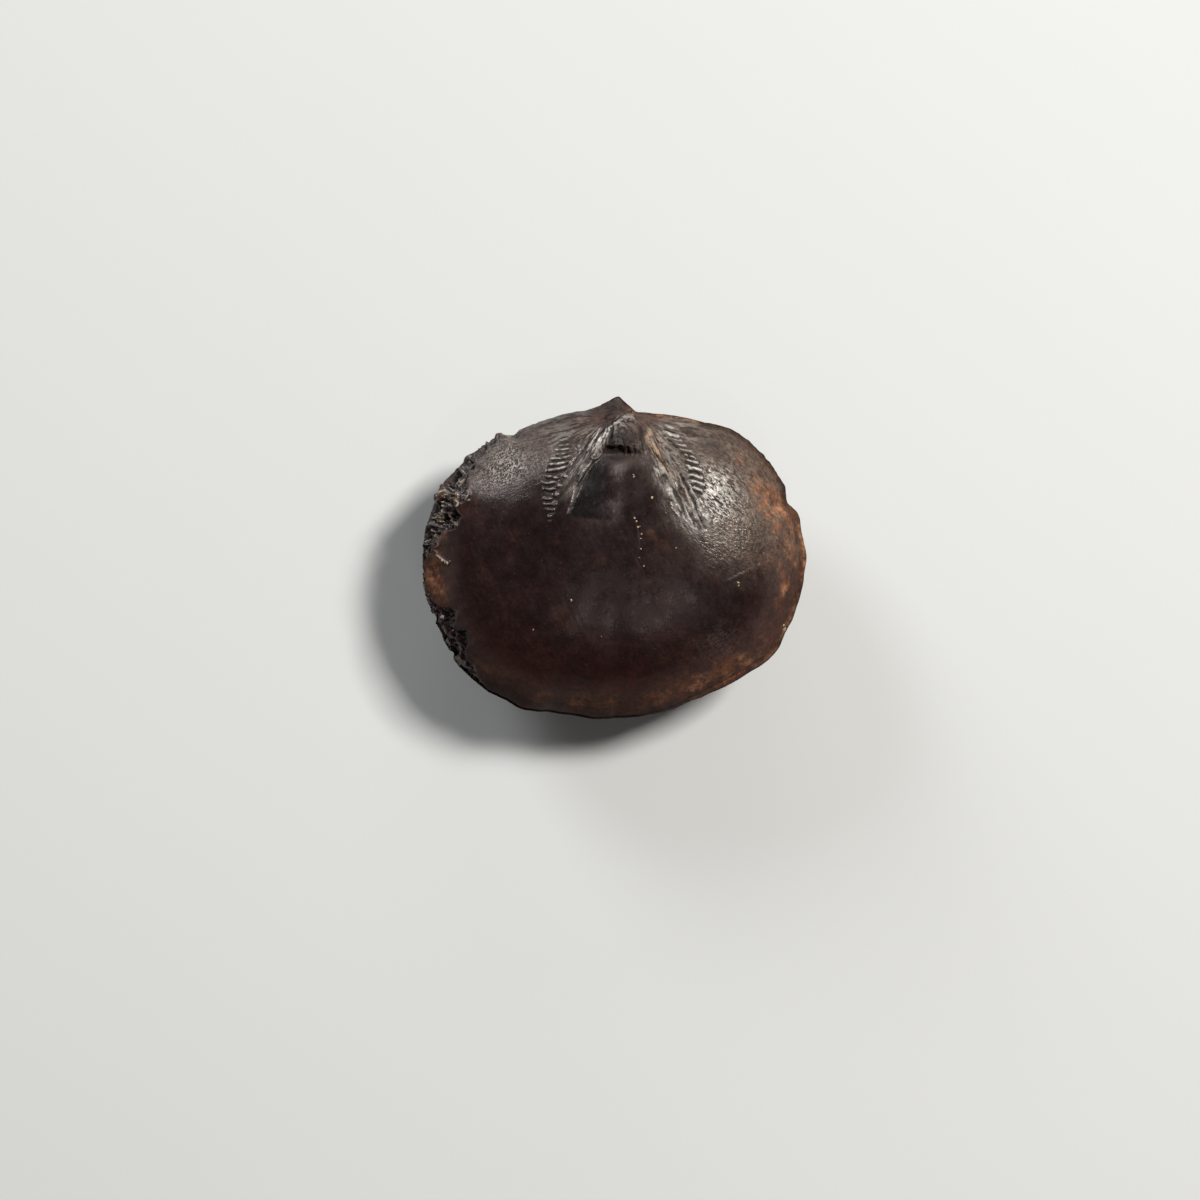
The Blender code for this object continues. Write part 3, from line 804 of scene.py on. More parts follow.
    def right_fissures(self) -> list[Stroke]:
        """Gives the fissures and fibres that run beside the right border of the muscle field."""
        vary = np.random.default_rng(self.seed + 1)
        fissures = (
            (
                (2.58, 3.30), (2.75, 3.01), (2.86, 2.70), (3.06, 2.32), (3.21, 1.92), (3.39, 1.46),
                (3.53, 1.07),
            ),
            ((2.36, 3.02), (2.59, 2.54), (2.79, 2.12), (2.98, 1.66), (3.21, 1.15)),
            ((2.20, 2.94), (2.32, 2.63), (2.56, 2.24), (2.71, 1.85), (2.86, 1.46)),
            ((2.51, 2.86), (2.71, 2.47), (2.90, 2.05), (3.10, 1.62)),
        )
        fissures = [[(x + vary.normal(0, 0.022), y) for x, y in curve(line, 2)] for line in fissures]
        made = [
            Stroke(fissures[0], 0.048, -0.10, 0.15, Bend.SOFT),
            Stroke(fissures[1], 0.042, -0.08, 0.2, Bend.SOFT),
            *(Stroke(line, 0.038, -0.065, 0.2, Bend.SOFT) for line in fissures[2:]),
            *(Stroke(shifted(line, 0.11, 0.04), 0.048, 0.060, 0.2) for line in fissures),
        ]
        spine = curve(((1.72, 3.42), (2.02, 2.95), (2.34, 2.40), (2.66, 1.85), (2.92, 1.30)))
        for _ in range(64):
            share = vary.uniform(0, 1)
            x, y = spine[int(share * (len(spine) - 1))]
            x, y = x + vary.normal(0.02, 0.15), y + vary.normal(0, 0.06)
            length, tilt = vary.uniform(0.14, 0.42), math.radians(-56 - 8 * share + vary.normal(0, 12))
            cos, sin = math.cos(tilt), math.sin(tilt)
            bend = vary.uniform(-0.04, 0.04)
            steps = [(t * length, bend * math.sin(6 * t)) for t in (-0.5, -0.25, 0.0, 0.25, 0.5)]
            points = [(x + gone * cos - off * sin, y + gone * sin + off * cos) for gone, off in steps]
            made.append(Stroke(points, 0.036, vary.choice((0.045, 0.035, 0.030)), 0.3))
        return made

    def scratches(self) -> list[Stroke]:
        """Gives the few thin scratches and lines on the smooth part of the valve."""
        crack = (
            (0.80, 1.66), (0.93, 1.22), (1.01, 0.88), (1.03, 0.37), (0.92, -0.10), (1.18, -0.53),
            (1.36, -1.11), (1.58, -1.69),
        )
        long_line = ((-2.05, -1.20), (-1.75, -2.00), (-1.35, -2.90), (-1.10, -3.50))
        return [
            Stroke(crack, 0.036, -0.011, 0.3, Bend.SOFT),
            Stroke(((4.30, -1.00), (4.90, -0.72), (5.50, -0.42), (5.95, -0.30)), 0.035, 0.030, 0.3),
            Stroke(((-5.60, -0.10), (-5.35, -0.65), (-5.05, -1.10), (-4.80, -1.30)), 0.035, 0.028, 0.3),
            Stroke(((-5.60, 0.40), (-5.45, 0.05), (-5.20, -0.55), (-5.12, -0.85)), 0.035, 0.026, 0.3),
            Stroke(long_line, 0.035, -0.007, 0.3, Bend.SOFT),
            Stroke(((-1.75, -1.30), (-1.50, -2.00), (-1.15, -2.80)), 0.035, -0.006, 0.3, Bend.SOFT),
            Stroke(((4.97, 3.10), (5.16, 2.97), (5.43, 2.88)), 0.035, 0.045, 0.3),
            Stroke(((-7.36, 0.26), (-7.15, 0.31), (-6.95, 0.27), (-6.78, 0.14)), 0.040, 0.060, 0.15),
            Stroke(((-6.92, 0.12), (-6.74, 0.01), (-6.56, -0.13), (-6.40, -0.22)), 0.050, 0.075, 0.1),
            Stroke(((-6.56, -3.10), (-6.42, -2.96), (-6.22, -2.92), (-6.02, -3.06)), 0.040, 0.060, 0.15),
        ]

    def left_teeth(self) -> list[Stroke]:
        """Gives the teeth, block edges and fibres left standing on the broken left edge."""
        lines = (
            ((-6.02, 3.53), (-5.71, 3.53), (-5.40, 3.49)),
            ((-5.86, 3.36), (-5.55, 3.35), (-5.40, 3.34)),
            ((-6.60, 2.86), (-6.53, 2.98), (-6.33, 3.02), (-6.14, 2.94)),
            ((-6.41, 2.71), (-6.25, 2.63), (-6.12, 2.47)),
            ((-5.90, 2.71), (-5.82, 2.63), (-5.86, 2.45), (-5.67, 2.36)),
            ((-6.93, 2.24), (-6.72, 2.18), (-6.45, 2.05), (-6.19, 1.81)),
            ((-7.15, 1.34), (-6.95, 1.27), (-6.80, 1.13)),
            ((-6.49, 1.29), (-6.10, 1.27)),
            ((-5.67, 3.72), (-5.49, 3.72), (-5.43, 3.64)),
            ((-5.79, 3.95), (-5.67, 3.99)),
            ((-4.62, 4.66), (-4.48, 4.79), (-4.36, 4.66)),
            ((-6.60, 2.99), (-6.38, 3.02), (-6.16, 2.93), (-6.08, 2.77), (-6.22, 2.60)),
            ((-5.72, 2.66), (-5.64, 2.43), (-5.77, 2.27), (-5.61, 2.16)),
            ((-6.22, 2.27), (-6.02, 2.10), (-6.16, 1.94)),
            ((-7.10, 1.55), (-6.85, 1.55)),
            ((-7.21, 1.25), (-6.93, 1.31), (-6.71, 1.17)),
            ((-6.99, 0.62), (-6.82, 0.56), (-6.88, 0.40), (-7.02, 0.45)),
            ((-6.62, 2.55), (-6.48, 2.38), (-6.52, 2.20)),
            ((-6.90, 1.90), (-6.70, 1.80), (-6.52, 1.62)),
        )
        return [Stroke(line, 0.042, 0.075, 0.12) for line in lines]

    def flaked(self, x: Array, y: Array) -> Array:
        """Gives 1 where the left edge has broken away and 0 elsewhere."""
        angle = self.margin.angle(x, y)
        bearings, widths = zip(*self.flake_widths)
        width = np.interp(np.degrees(angle) % 360, bearings, widths)
        flat = np.stack([x, y, 0 * x], axis=-1)
        round_edge = np.stack([6.3 * np.cos(angle), 6.3 * np.sin(angle), 0 * x], axis=-1)
        ragged = width * (1 + 0.60 * grain(round_edge, 0.60, 8.1, 3))
        ragged = ragged + 0.07 * grain(flat, 0.30, 2.9, 2) * (width > 0.05)
        across = self.margin.inside(x, y) / np.maximum(ragged, self.least_flake)
        return np.where(ragged > self.least_flake, 1 - smoothstep(0.74, 1.0, across), 0)

    def relief(self, base: Array) -> Array:
        """Gives the height of all the fine relief at each point of the upper valve.

        Args:
            base: points of the broad form, as rows of x, y, z in millimetres.

        Returns:
            The distance to move each point outwards along its normal, in millimetres.
        """
        x, y = self.laid_out(base)
        ridges, grooves = np.zeros(len(x)), np.zeros(len(x))
        for stroke in self.strokes:
            if stroke.height > 0:
                ridges = np.maximum(ridges, stroke.relief(x, y))
            else:
                grooves = np.minimum(grooves, stroke.relief(x, y))
        marked = (ridges > 0) | (grooves < 0)
        worn = np.ones(len(x))
        worn[marked] = np.clip(0.88 + 0.55 * grain(base[marked], 0.13, 3.3, 2), 0.35, 1.3)
        return (ridges + grooves) * worn

    def broken_relief(self, base: Array, flaked: Array) -> tuple[Array, Array, Array]:
        """Gives the boxwork of the flaked edge: thin standing walls round pits and facets.

        Args:
            base: points of the broad form, in millimetres.
            flaked: share of flaking at each point, 0 to 1.

        Returns:
            The distance to move each point outwards, in millimetres, the share of wall, and each
            facet's own value, -1 to 1.
        """
        result, walls, facets = np.zeros(len(base)), np.zeros(len(base)), np.zeros(len(base))
        on = flaked > 0.01
        if on.any():
            here = base[on]
            bend = np.stack([grain(here, 0.5, seed, 2) for seed in (1.5, 4.6, 8.8)], axis=1)
            inside, value = cells((here + 0.10 * bend) * np.array([0.85, 1.25, 0.8]), 0.40, 2.3)
            fine_inside, fine_value = cells(here + 0.05 * bend, 0.19, 5.9)
            standing = smoothstep(-0.15, 0.25, grain(here, 0.45, 6.6, 2))
            wall = (1 - smoothstep(0.05, 0.22, inside)) * standing
            fine_standing = smoothstep(0.0, 0.3, grain(here, 0.35, 12.6, 2))
            fine_wall = (1 - smoothstep(0.05, 0.30, fine_inside)) * fine_standing
            wall = np.maximum(wall, 0.8 * fine_wall)
            blocks = 0.10 * value + 0.05 * fine_value + 0.13 * wall - 0.14
            calm = 0.55 + 0.45 * smoothstep(-0.8, 1.2, here[:, 1])
            result[on] = flaked[on] * blocks * calm
            walls[on] = flaked[on] * wall
            facets[on] = flaked[on] * np.clip(value + 0.3 * fine_value, -1, 1)
        return result, walls, facets


@dataclass(frozen=True)
class Places:
    """What the weathering needs to know of each point of the skin.

    Attributes:
        x: plan x, as the marks are laid out.
        y: plan y, as the marks are laid out.
        inside: how far in from the margin it lies, in millimetres.
        angle: its plan angle about the shell's centre.
        upper: 1 on the upper valve and 0 on the lower.
        flaked: share of flaking.
        blotch: broad random values, about 0 to 1.
        speck: fine random values, about 0 to 1.
    """

    x: Array
    y: Array
    inside: Array
    angle: Array
    upper: Array
    flaked: Array
    blotch: Array
    speck: Array

    def window(self, start: float, end: float, soft: float) -> Array:
        """Gives 1 between two plan angles in degrees and 0 outside them."""
        middle, half = (start + end) / 2, (end - start) / 2
        return 1 - smoothstep(half - soft, half + soft, np.abs(angle_gap(self.angle, middle)))

    def strip(self, at: float, half_width: float) -> Array:
        """Gives a soft strip that follows the margin at a distance from it."""
        return np.exp(-(((self.inside - at) / half_width) ** 2))

    def right_flank(self) -> Array:
        """Gives how far right and back each place lies, which the dusty layer with its painted sheen and the
        worn skin follow.
        """
        return self.x + 0.5 * (self.y - 1)


@dataclass(frozen=True)
class Weathering:
    """Where rust, dusting, ochre and bare broken mineral lie on the shell, and where sheen, highlights and
    shade are painted on it.

    Attributes:
        margin: the shell's outline.
        detail: the fine relief, which also says how the marks are laid out.
        left_ladder: the line through the rungs left of the umbo.
        right_ladder: the line through the rungs right of the umbo.
        left_border: the left border of the muscle field, from the umbo.
        right_border: the right border of the muscle field, from the umbo.
        tan_border: the upper part of the right border, which is tan.
        rusty_border: the line of rust beside the right border.
        right_fibres: the run of pale fibres below the right border.
        muscle_border: the left side of the dark muscle scar.
        fans: the left and right points from which the fine striae spread.
        knob: the umbo's knob.
        beak: the rough skin of the beak.
        edge_scar: the hollow that is rusted through on the left margin.
        rust_spots: stains of rust.
        beak_ochre: the spot of ochre beside the beak.
        clean_patch: where the dusty layer and painted sheen on the right are left out.
        knob_clean: where the dusty layer and painted sheen by the hinge are left out.
        left_dust_and_sheen: the dusty patch on the left shoulder, also a painted sheen where it faces the
            light.
        dark_beak: the darkest part of the beak.
        knob_face_shade: painted shade on the face of the knob, over its recess.
        wormy: the worm-like wrinkles of the right flank.
        needle_patches: the skin with fine needle marks.
        pale_and_highlight_patches: where high places are painted pale, for worn skin and as painted
            highlights on the shoulders, umbo, knob and rungs.
        broken_pale_and_glints: the pale walls of the broken edge, with painted glints.
        matt_patches: the dull skin of the knob and its recess.
    """

    margin: Margin
    detail: SurfaceDetail
    left_ladder: Line = ((-1.95, 4.72), (-2.05, 4.1), (-2.2, 3.4), (-2.5, 2.7), (-2.5, 1.7))
    right_ladder: Line = ((2.2, 5.0), (2.75, 4.2), (3.2, 3.3), (3.35, 2.75))
    left_border: Line = ((-0.2, 5.2), (-0.75, 4.5), (-1.3, 3.5), (-1.75, 2.5))
    right_border: Line = ((1.1, 5.2), (1.7, 4.1), (2.4, 2.9), (3.3, 1.3))
    tan_border: Line = (
        (1.33, 5.05), (1.37, 4.80), (1.41, 4.55), (1.56, 4.20), (1.78, 3.90), (1.97, 3.62), (2.3, 3.1),
    )
    rusty_border: Line = ((1.62, 4.4), (2.1, 3.7), (2.6, 2.9), (3.0, 2.2), (3.3, 1.5))
    right_fibres: Line = ((1.75, 3.35), (2.15, 2.55), (2.65, 1.75), (2.95, 1.15))
    muscle_border: Line = (
        (-0.55, 4.05), (-0.85, 3.72), (-1.36, 2.96), (-1.61, 2.33), (-1.85, 1.65), (-2.1, 0.9),
    )
    fans: tuple[Plan, Plan] = ((-0.1, 5.45), (1.0, 5.5))
    knob: Patch = Patch((0.40, 5.05), (0.64, 0.62))
    beak: Patch = Patch((0.02, 5.72), (0.62, 0.36))
    edge_scar: Patch = Patch((-6.90, -0.72), (0.34, 0.85), turn=8)
    rust_spots: Sequence[Patch] = (
        Patch((0.75, 5.76), (0.16, 0.09)),
        Patch((-6.75, 0.88), (0.22, 0.20)),
        Patch((-6.50, 1.92), (0.26, 0.18), 0.9),
        Patch((6.35, -1.90), (0.20, 0.38), 0.9),
        Patch((6.80, -1.10), (0.20, 0.30), 0.8),
        Patch((6.45, 0.75), (0.50, 0.85), 0.75),
        Patch((6.15, 1.80), (0.45, 0.70), 0.60),
        Patch((6.85, 0.00), (0.26, 0.52), 0.8),
        Patch((6.00, -3.55), (0.45, 0.35), 0.5),
        Patch((3.95, 4.05), (0.35, 0.22), 0.45),
        Patch((4.95, 3.55), (0.22, 0.30), 0.35),
        Patch((5.30, 2.55), (0.42, 0.55), 0.40),
        Patch((1.72, 4.30), (0.22, 0.40), 0.7),
        Patch((1.38, 0.95), (0.24, 0.20), 0.16),
        Patch((1.42, -0.92), (0.12, 0.24), 0.14),
    )
    beak_ochre: Patch = Patch((0.78, 5.74), (0.13, 0.07), 0.9)
    clean_patch: Patch = Patch((3.75, 4.30), (0.75, 0.45), 0.55, -40)
    knob_clean: Patch = Patch((0.45, 4.85), (0.9, 0.75))
    # dusty layer and painted sheen on the left shoulder
    left_dust_and_sheen: Patch = Patch((-4.5, 3.9), (1.7, 1.2), 0.38)
    dark_beak: Patch = Patch((-0.02, 5.90), (0.62, 0.36), 0.95)
    # painted shade on the knob's face
    knob_face_shade: Patch = Patch((0.36, 4.68), (0.60, 0.40), 0.95)
    wormy: Patch = Patch((4.05, 2.45), (1.30, 1.35))
    needle_patches: Sequence[Patch] = (
        Patch((-4.35, 3.60), (1.15, 1.05), 0.9),
        Patch((4.00, -3.40), (1.25, 0.80), 0.28, 25),
    )
    # pale wear, and painted highlights on the shoulders, umbo, knob and rungs
    pale_and_highlight_patches: Sequence[Patch] = (
        Patch((-0.40, 4.98), (0.62, 0.26), 1.2, 66),
        Patch((0.36, 5.42), (0.45, 0.26), 0.9),
        Patch((3.75, 2.25), (0.90, 1.10), 1.2),
        Patch((-4.05, 3.80), (0.70, 0.80), 0.27),
        Patch((4.00, -3.40), (1.0, 0.70), 0.04, 25),
        Patch((-6.60, -0.08), (0.42, 0.16), 1.1, -35),
        Patch((-2.1, 3.7), (0.55, 1.1), 0.65),
        Patch((2.8, 3.7), (0.60, 1.2), 0.60, 24),
        Patch((2.25, 4.80), (0.55, 0.40), 0.50),
    )
    broken_pale_and_glints: Patch = Patch((-6.35, 2.20), (0.85, 1.35), 0.75, -30)
    matt_patches: Sequence[Patch] = (
        Patch((0.20, 4.05), (0.95, 0.50), 1.3),
        Patch((0.32, 4.62), (0.62, 0.38)),
    )

    def flow(self, base: Array) -> Array:
        """Gives the coordinates of the fine striae, which fan out beside the umbo and ring its knob.

        Args:
            base: points of the broad form, in millimetres.

        Returns:
            For each point how far across the striae it lies, how far along them, and a shift for its
            own fan.
        """
        x, y = self.detail.laid_out(base)
        centre = (0.32, 4.80)
        on_left = x < 0.45
        fan = np.where(on_left[:, None], [self.fans[0]], [self.fans[1]])
        turn = np.arctan2(y - fan[:, 1], x - fan[:, 0]) % TAU
        away = np.hypot(x - fan[:, 0], y - fan[:, 1])
        round_knob = np.hypot(x - centre[0], y - centre[1])
        on_knob = self.knob.share(x, y) > 0.35
        across = np.where(on_knob, round_knob / 0.10, turn * 15)
        along = np.where(on_knob, np.arctan2(y - centre[1], x - centre[0]) * 1.2, away / 0.8)
        return np.stack([across, along, np.where(on_knob, 7.0, np.where(on_left, 0.0, 3.0))], axis=1)

    def rocky(self, base: Array) -> Array:
        """Gives 1 where the umbo's knob and the beak are rough and 0 away from them."""
        x, y = self.detail.laid_out(base)
        return smoothstep(0.05, 0.45, np.maximum(self.knob.share(x, y), self.beak.share(x, y)))

    def rocky_relief(self, base: Array) -> Array:
        """Gives the small facets and cracks of the umbo's knob and the beak, in millimetres."""
        inside, value = cells(base * np.array([1.0, 0.8, 1.0]), 0.34, 4.4)
        facets = 0.020 * value - 0.035 * (1 - smoothstep(0.0, 0.14, inside))
        return self.rocky(base) * (facets + 0.014 * grain(base, 0.16, 3.9, 2))

    def rim(self, at: Places) -> Array:
        """Gives 1 on the thin coloured line of the right margin and 0 elsewhere."""
        return at.strip(0.07, 0.07) * at.window(-38, 76, 6)

    def rust(self, at: Places) -> Array:
        """Gives the rust: bands along the margin, stains and the hollow on the left."""
        scar = self.edge_scar.share(at.x, at.y)
        rust = 0.80 * at.strip(0.50, 0.50) * at.window(-58, 34, 12)
        rust = rust + 0.34 * at.strip(0.50, 0.50) * at.window(218, 335, 12) + 1.2 * scar
        rust = rust + 0.45 * band(at.x, at.y, self.rusty_border, 0.16)
        rust = rust + sum(spot.share(at.x, at.y) for spot in self.rust_spots)
        rust = rust * (0.25 + 1.1 * smoothstep(0.30, 0.75, at.blotch))
        rust = rust + 0.05 * smoothstep(0.66, 0.85, at.blotch) + 0.5 * scar
        rust = rust + 0.9 * self.rim(at) * smoothstep(0.30, 0.55, at.speck)
        under = 0.30 * smoothstep(0.55, 0.8, at.blotch) * smoothstep(0.1, 0.6, at.inside)
        return np.where(at.upper > 0.5, rust, 0.30 * at.strip(1.1, 0.7) + under)

    def ochre(self, at: Places) -> Array:
        """Gives the ochre: the tan border, specks on the right rim and a spot beside the beak."""
        distance, share = along_line(at.x, at.y, self.tan_border)
        tan = np.exp(-((distance / 0.13) ** 2)) * (1 - 0.6 * smoothstep(0.55, 1.0, share))
        tan = tan * smoothstep(0.0, 0.15, share)
        ochre = 1.1 * tan * smoothstep(0.15, 0.5, at.speck)
        ochre = ochre + 0.30 * self.rim(at) * smoothstep(0.36, 0.58, at.speck)
        return (ochre + self.beak_ochre.share(at.x, at.y)) * at.upper

    def dust_and_sheen(self, at: Places) -> Array:
        """Gives the dusty layer of the right flank, the hinge and the left shoulder, which is also a painted
        sheen where these face the light.
        """
        x, y = at.x, at.y
        dust_and_sheen = smoothstep(1.8, 4.2, at.right_flank()) * smoothstep(-1.8, 2.2, y)
        dust_and_sheen = dust_and_sheen * (1 - self.clean_patch.share(x, y)) * (1 - 0.22 * smoothstep(3.9, 4.9, y))
        by_hinge = 0.36 * smoothstep(3.6, 4.9, y) * (1 - self.knob_clean.share(x, y))
        # the left shoulder patch is a dusty layer and a painted sheen where it faces the light
        dust_and_sheen = np.maximum(np.maximum(dust_and_sheen, by_hinge), self.left_dust_and_sheen.share(x, y))
        dust_and_sheen = np.maximum(dust_and_sheen, 0.45 * band(x, y, self.rusty_border, 0.45))
        return np.clip(dust_and_sheen * (0.6 + 0.6 * at.speck), 0, 1) * (0.25 + 0.75 * at.upper)

    def broken(self, at: Places) -> Array:
        """Gives the dark broken mineral of flakes and chips, and painted shade: the front lip, the lower
        valve under the margin, the hinge line, the knob's face and the rungs' gaps.
        """
        x, y = at.x, at.y
        flakes = at.flaked * (1 - 0.9 * self.edge_scar.share(x, y)) * (0.5 + 0.5 * smoothstep(-0.8, 1.2, y))
        chips = at.strip(0.04, 0.13) * at.window(16, 56, 5) * smoothstep(0.20, 0.40, at.speck)
        crescent = 0.9 * at.strip(0.27, 0.08) * at.window(-32, 14, 6) * smoothstep(0.34, 0.56, at.blotch)
        # painted shadow along the hinge margin, partly a dark edge
        hinge = at.strip(0.0, 0.20) * at.window(97, 136, 6)
        beak = self.dark_beak.share(x, y) * (0.55 + 0.7 * at.speck)
        # painted shade on the front margin, where the valve turns away from the light, and on the lower valve
        # under the margin
        front_margin_shade = 0.8 * at.strip(0.0, 0.12) * at.window(212, 352, 8)
        margin_shade = np.where(at.upper > 0.5, front_margin_shade, 0.85 * at.strip(0.0, 0.7))
        dark = np.maximum.reduce([flakes, chips, crescent, hinge, beak, margin_shade])
        # painted shade over the two ladders of rungs, between and in front of them
        gaps = 0.50 * band(x, y, self.right_ladder, 0.30, 4) + 0.40 * band(x, y, self.left_ladder, 0.34, 4)
        # painted shade on the knob's face, over its recess
        return dark + self.knob_face_shade.share(x, y) + gaps

    def worms(self, at: Places) -> Array:
        """Gives the worm-like wrinkles of the right flank, which stop at the rungs."""
        x, y = at.x, at.y
        strong = self.wormy.share(x, y) * (1 - 0.65 * band(x, y, self.right_ladder, 0.32, 4))
        flank = smoothstep(2.0, 4.2, at.right_flank()) * smoothstep(-2.0, 1.2, y)
        flank = flank * smoothstep(0.1, 0.5, at.inside)
        faint = 0.30 * flank * (1 - 0.9 * band(x, y, self.right_ladder, 0.36, 4))
        return np.maximum(strong, faint) * at.upper

    def needles(self, at: Places) -> Array:
        """Gives the fine needle marks, faint all over the lower valve."""
        needles = sum(patch.share(at.x, at.y) for patch in self.needle_patches)
        needles = needles + 0.30 * smoothstep(2.5, 4.4, at.y) * smoothstep(-1.5, -3.0, at.x)
        return np.where(at.upper > 0.5, np.clip(needles, 0, 1), 0.35)

    def striae(self, at: Places) -> Array:
        """Gives the fine striae beside the umbo, behind it and round its knob."""
        x, y = at.x, at.y
        left, left_share = along_line(x, y, self.left_border)
        right, right_share = along_line(x, y, self.right_border)
        striae = np.exp(-((left / 0.45) ** 2)) * (1 - 0.6 * left_share)
        striae = np.maximum(striae, np.exp(-((right / 0.62) ** 2)) * (1 - 0.3 * right_share))
        behind = 0.65 * smoothstep(3.9, 4.8, y) * (1 - smoothstep(3.0, 5.0, np.abs(x - 0.3)))
        knob = self.knob.share(x, y)
        striae = np.maximum(striae, behind) * (1 - smoothstep(0.12, 0.33, knob))
        striae = striae + 0.55 * smoothstep(0.37, 0.6, knob) * smoothstep(4.5, 5.0, y)
        for fan_x, fan_y in self.fans:
            away = smoothstep(0.40, 1.10, np.hypot(x - fan_x, y - fan_y))
            striae = striae * np.where(knob > 0.33, 1, away)
        striae = striae * (1 - 0.75 * band(x, y, self.right_ladder, 0.30, 4))
        between_fans = np.exp(-((x - 0.45) ** 2) / 0.02) * (knob < 0.33)
        return striae * (1 - between_fans) * at.upper

    def pale_and_highlight(self, at: Places) -> Array:
        """Gives how pale the high places are painted: worn skin, and painted highlights on the shoulders,
        umbo, knob, rungs and broken edge.
        """
        x, y = at.x, at.y
        left, left_share = along_line(x, y, self.left_border)
        fibres, fibre_share = along_line(x, y, self.right_fibres)
        pale_and_highlight = sum(patch.share(x, y) for patch in self.pale_and_highlight_patches)
        pale_and_highlight = pale_and_highlight + 0.45 * np.exp(-((left / 0.38) ** 2)) * (1 - left_share)
        pale_and_highlight = pale_and_highlight + 0.55 * np.exp(-((fibres / 0.30) ** 2)) * (1 - 0.5 * fibre_share)
        return (pale_and_highlight + self.broken_pale_and_glints.share(x, y) * (0.3 + 0.7 * at.speck)) * at.upper

    def muscle(self, at: Places) -> Array:
        """Gives the dark muscle scar, sharp on its left and front and soft on its right."""
        x, y = at.x, at.y
        rows = [-place[1] for place in self.muscle_border]
        side = np.interp(-y, rows, [place[0] for place in self.muscle_border])
        muscle = smoothstep(0.0, 0.10, x - side) * smoothstep(1.50, 1.66, y + 0.08 * (x + 1.85))
        return muscle * (1 - smoothstep(-0.75, 0.25, x)) * (1 - smoothstep(3.7, 4.1, y)) * at.upper

    def worn_edge(self, at: Places) -> Array:
        """Gives the dull worn skin near the margin and on the lower valve."""
        worn = (1 - smoothstep(0.3, 2.0, at.inside)) * (1 - at.flaked)
        worn = worn * np.maximum(at.window(-120, 110, 25), at.window(172, 250, 12))
        return np.where(at.upper > 0.5, worn, 0.8)

    def maps(self, base: Array, upper: Array, flaked: Array, relief: Array) -> dict[str, Array]:
        """Works out each weathering map.

        Args:
            base: points of the broad form, in millimetres.
            upper: 1 on the upper valve and 0 on the lower.
            flaked: share of flaking at each point.
            relief: fine relief at each point, in millimetres.

        Returns:
            Attribute names and their value at each point, 0 to 1 but for relief, -1 to 1.
        """
        x, y = self.detail.laid_out(base)
        at = Places(
            x=x,
            y=y,
            inside=self.margin.inside(base[:, 0], base[:, 1]),
            angle=self.margin.angle(base[:, 0], base[:, 1]),
            upper=upper,
            flaked=flaked,
            blotch=0.5 + 0.5 * grain(base, 1.3, 4.4, 4),
            speck=0.5 + 0.5 * grain(base, 0.35, 7.7, 3),
        )
        made = {
            "rust": self.rust(at),
            "ochre": self.ochre(at),
            # the dusty layer, also a painted sheen where the flanks face the light
            "dust_and_sheen": self.dust_and_sheen(at),
            "warm": 1 - smoothstep(0.3, 2.6, at.inside) + 0.5 * smoothstep(-1.0, -4.5, y),
            # flaked carries the dark broken mineral and the painted shade that broken() adds
            "flaked": self.broken(at),
            "worms": self.worms(at),
            "needles": self.needles(at),
            "muscle": self.muscle(at),
            "striae": self.striae(at),
            "edge": self.worn_edge(at),
            "matt": sum(patch.share(x, y) for patch in self.matt_patches) * upper,
            # pale wear and painted highlights
            "pale_and_highlight": self.pale_and_highlight(at),
        }
        made = {name: np.clip(values, 0, 1) for name, values in made.items()}
        return made | {"relief": np.clip(relief / 0.06, -1, 1)}


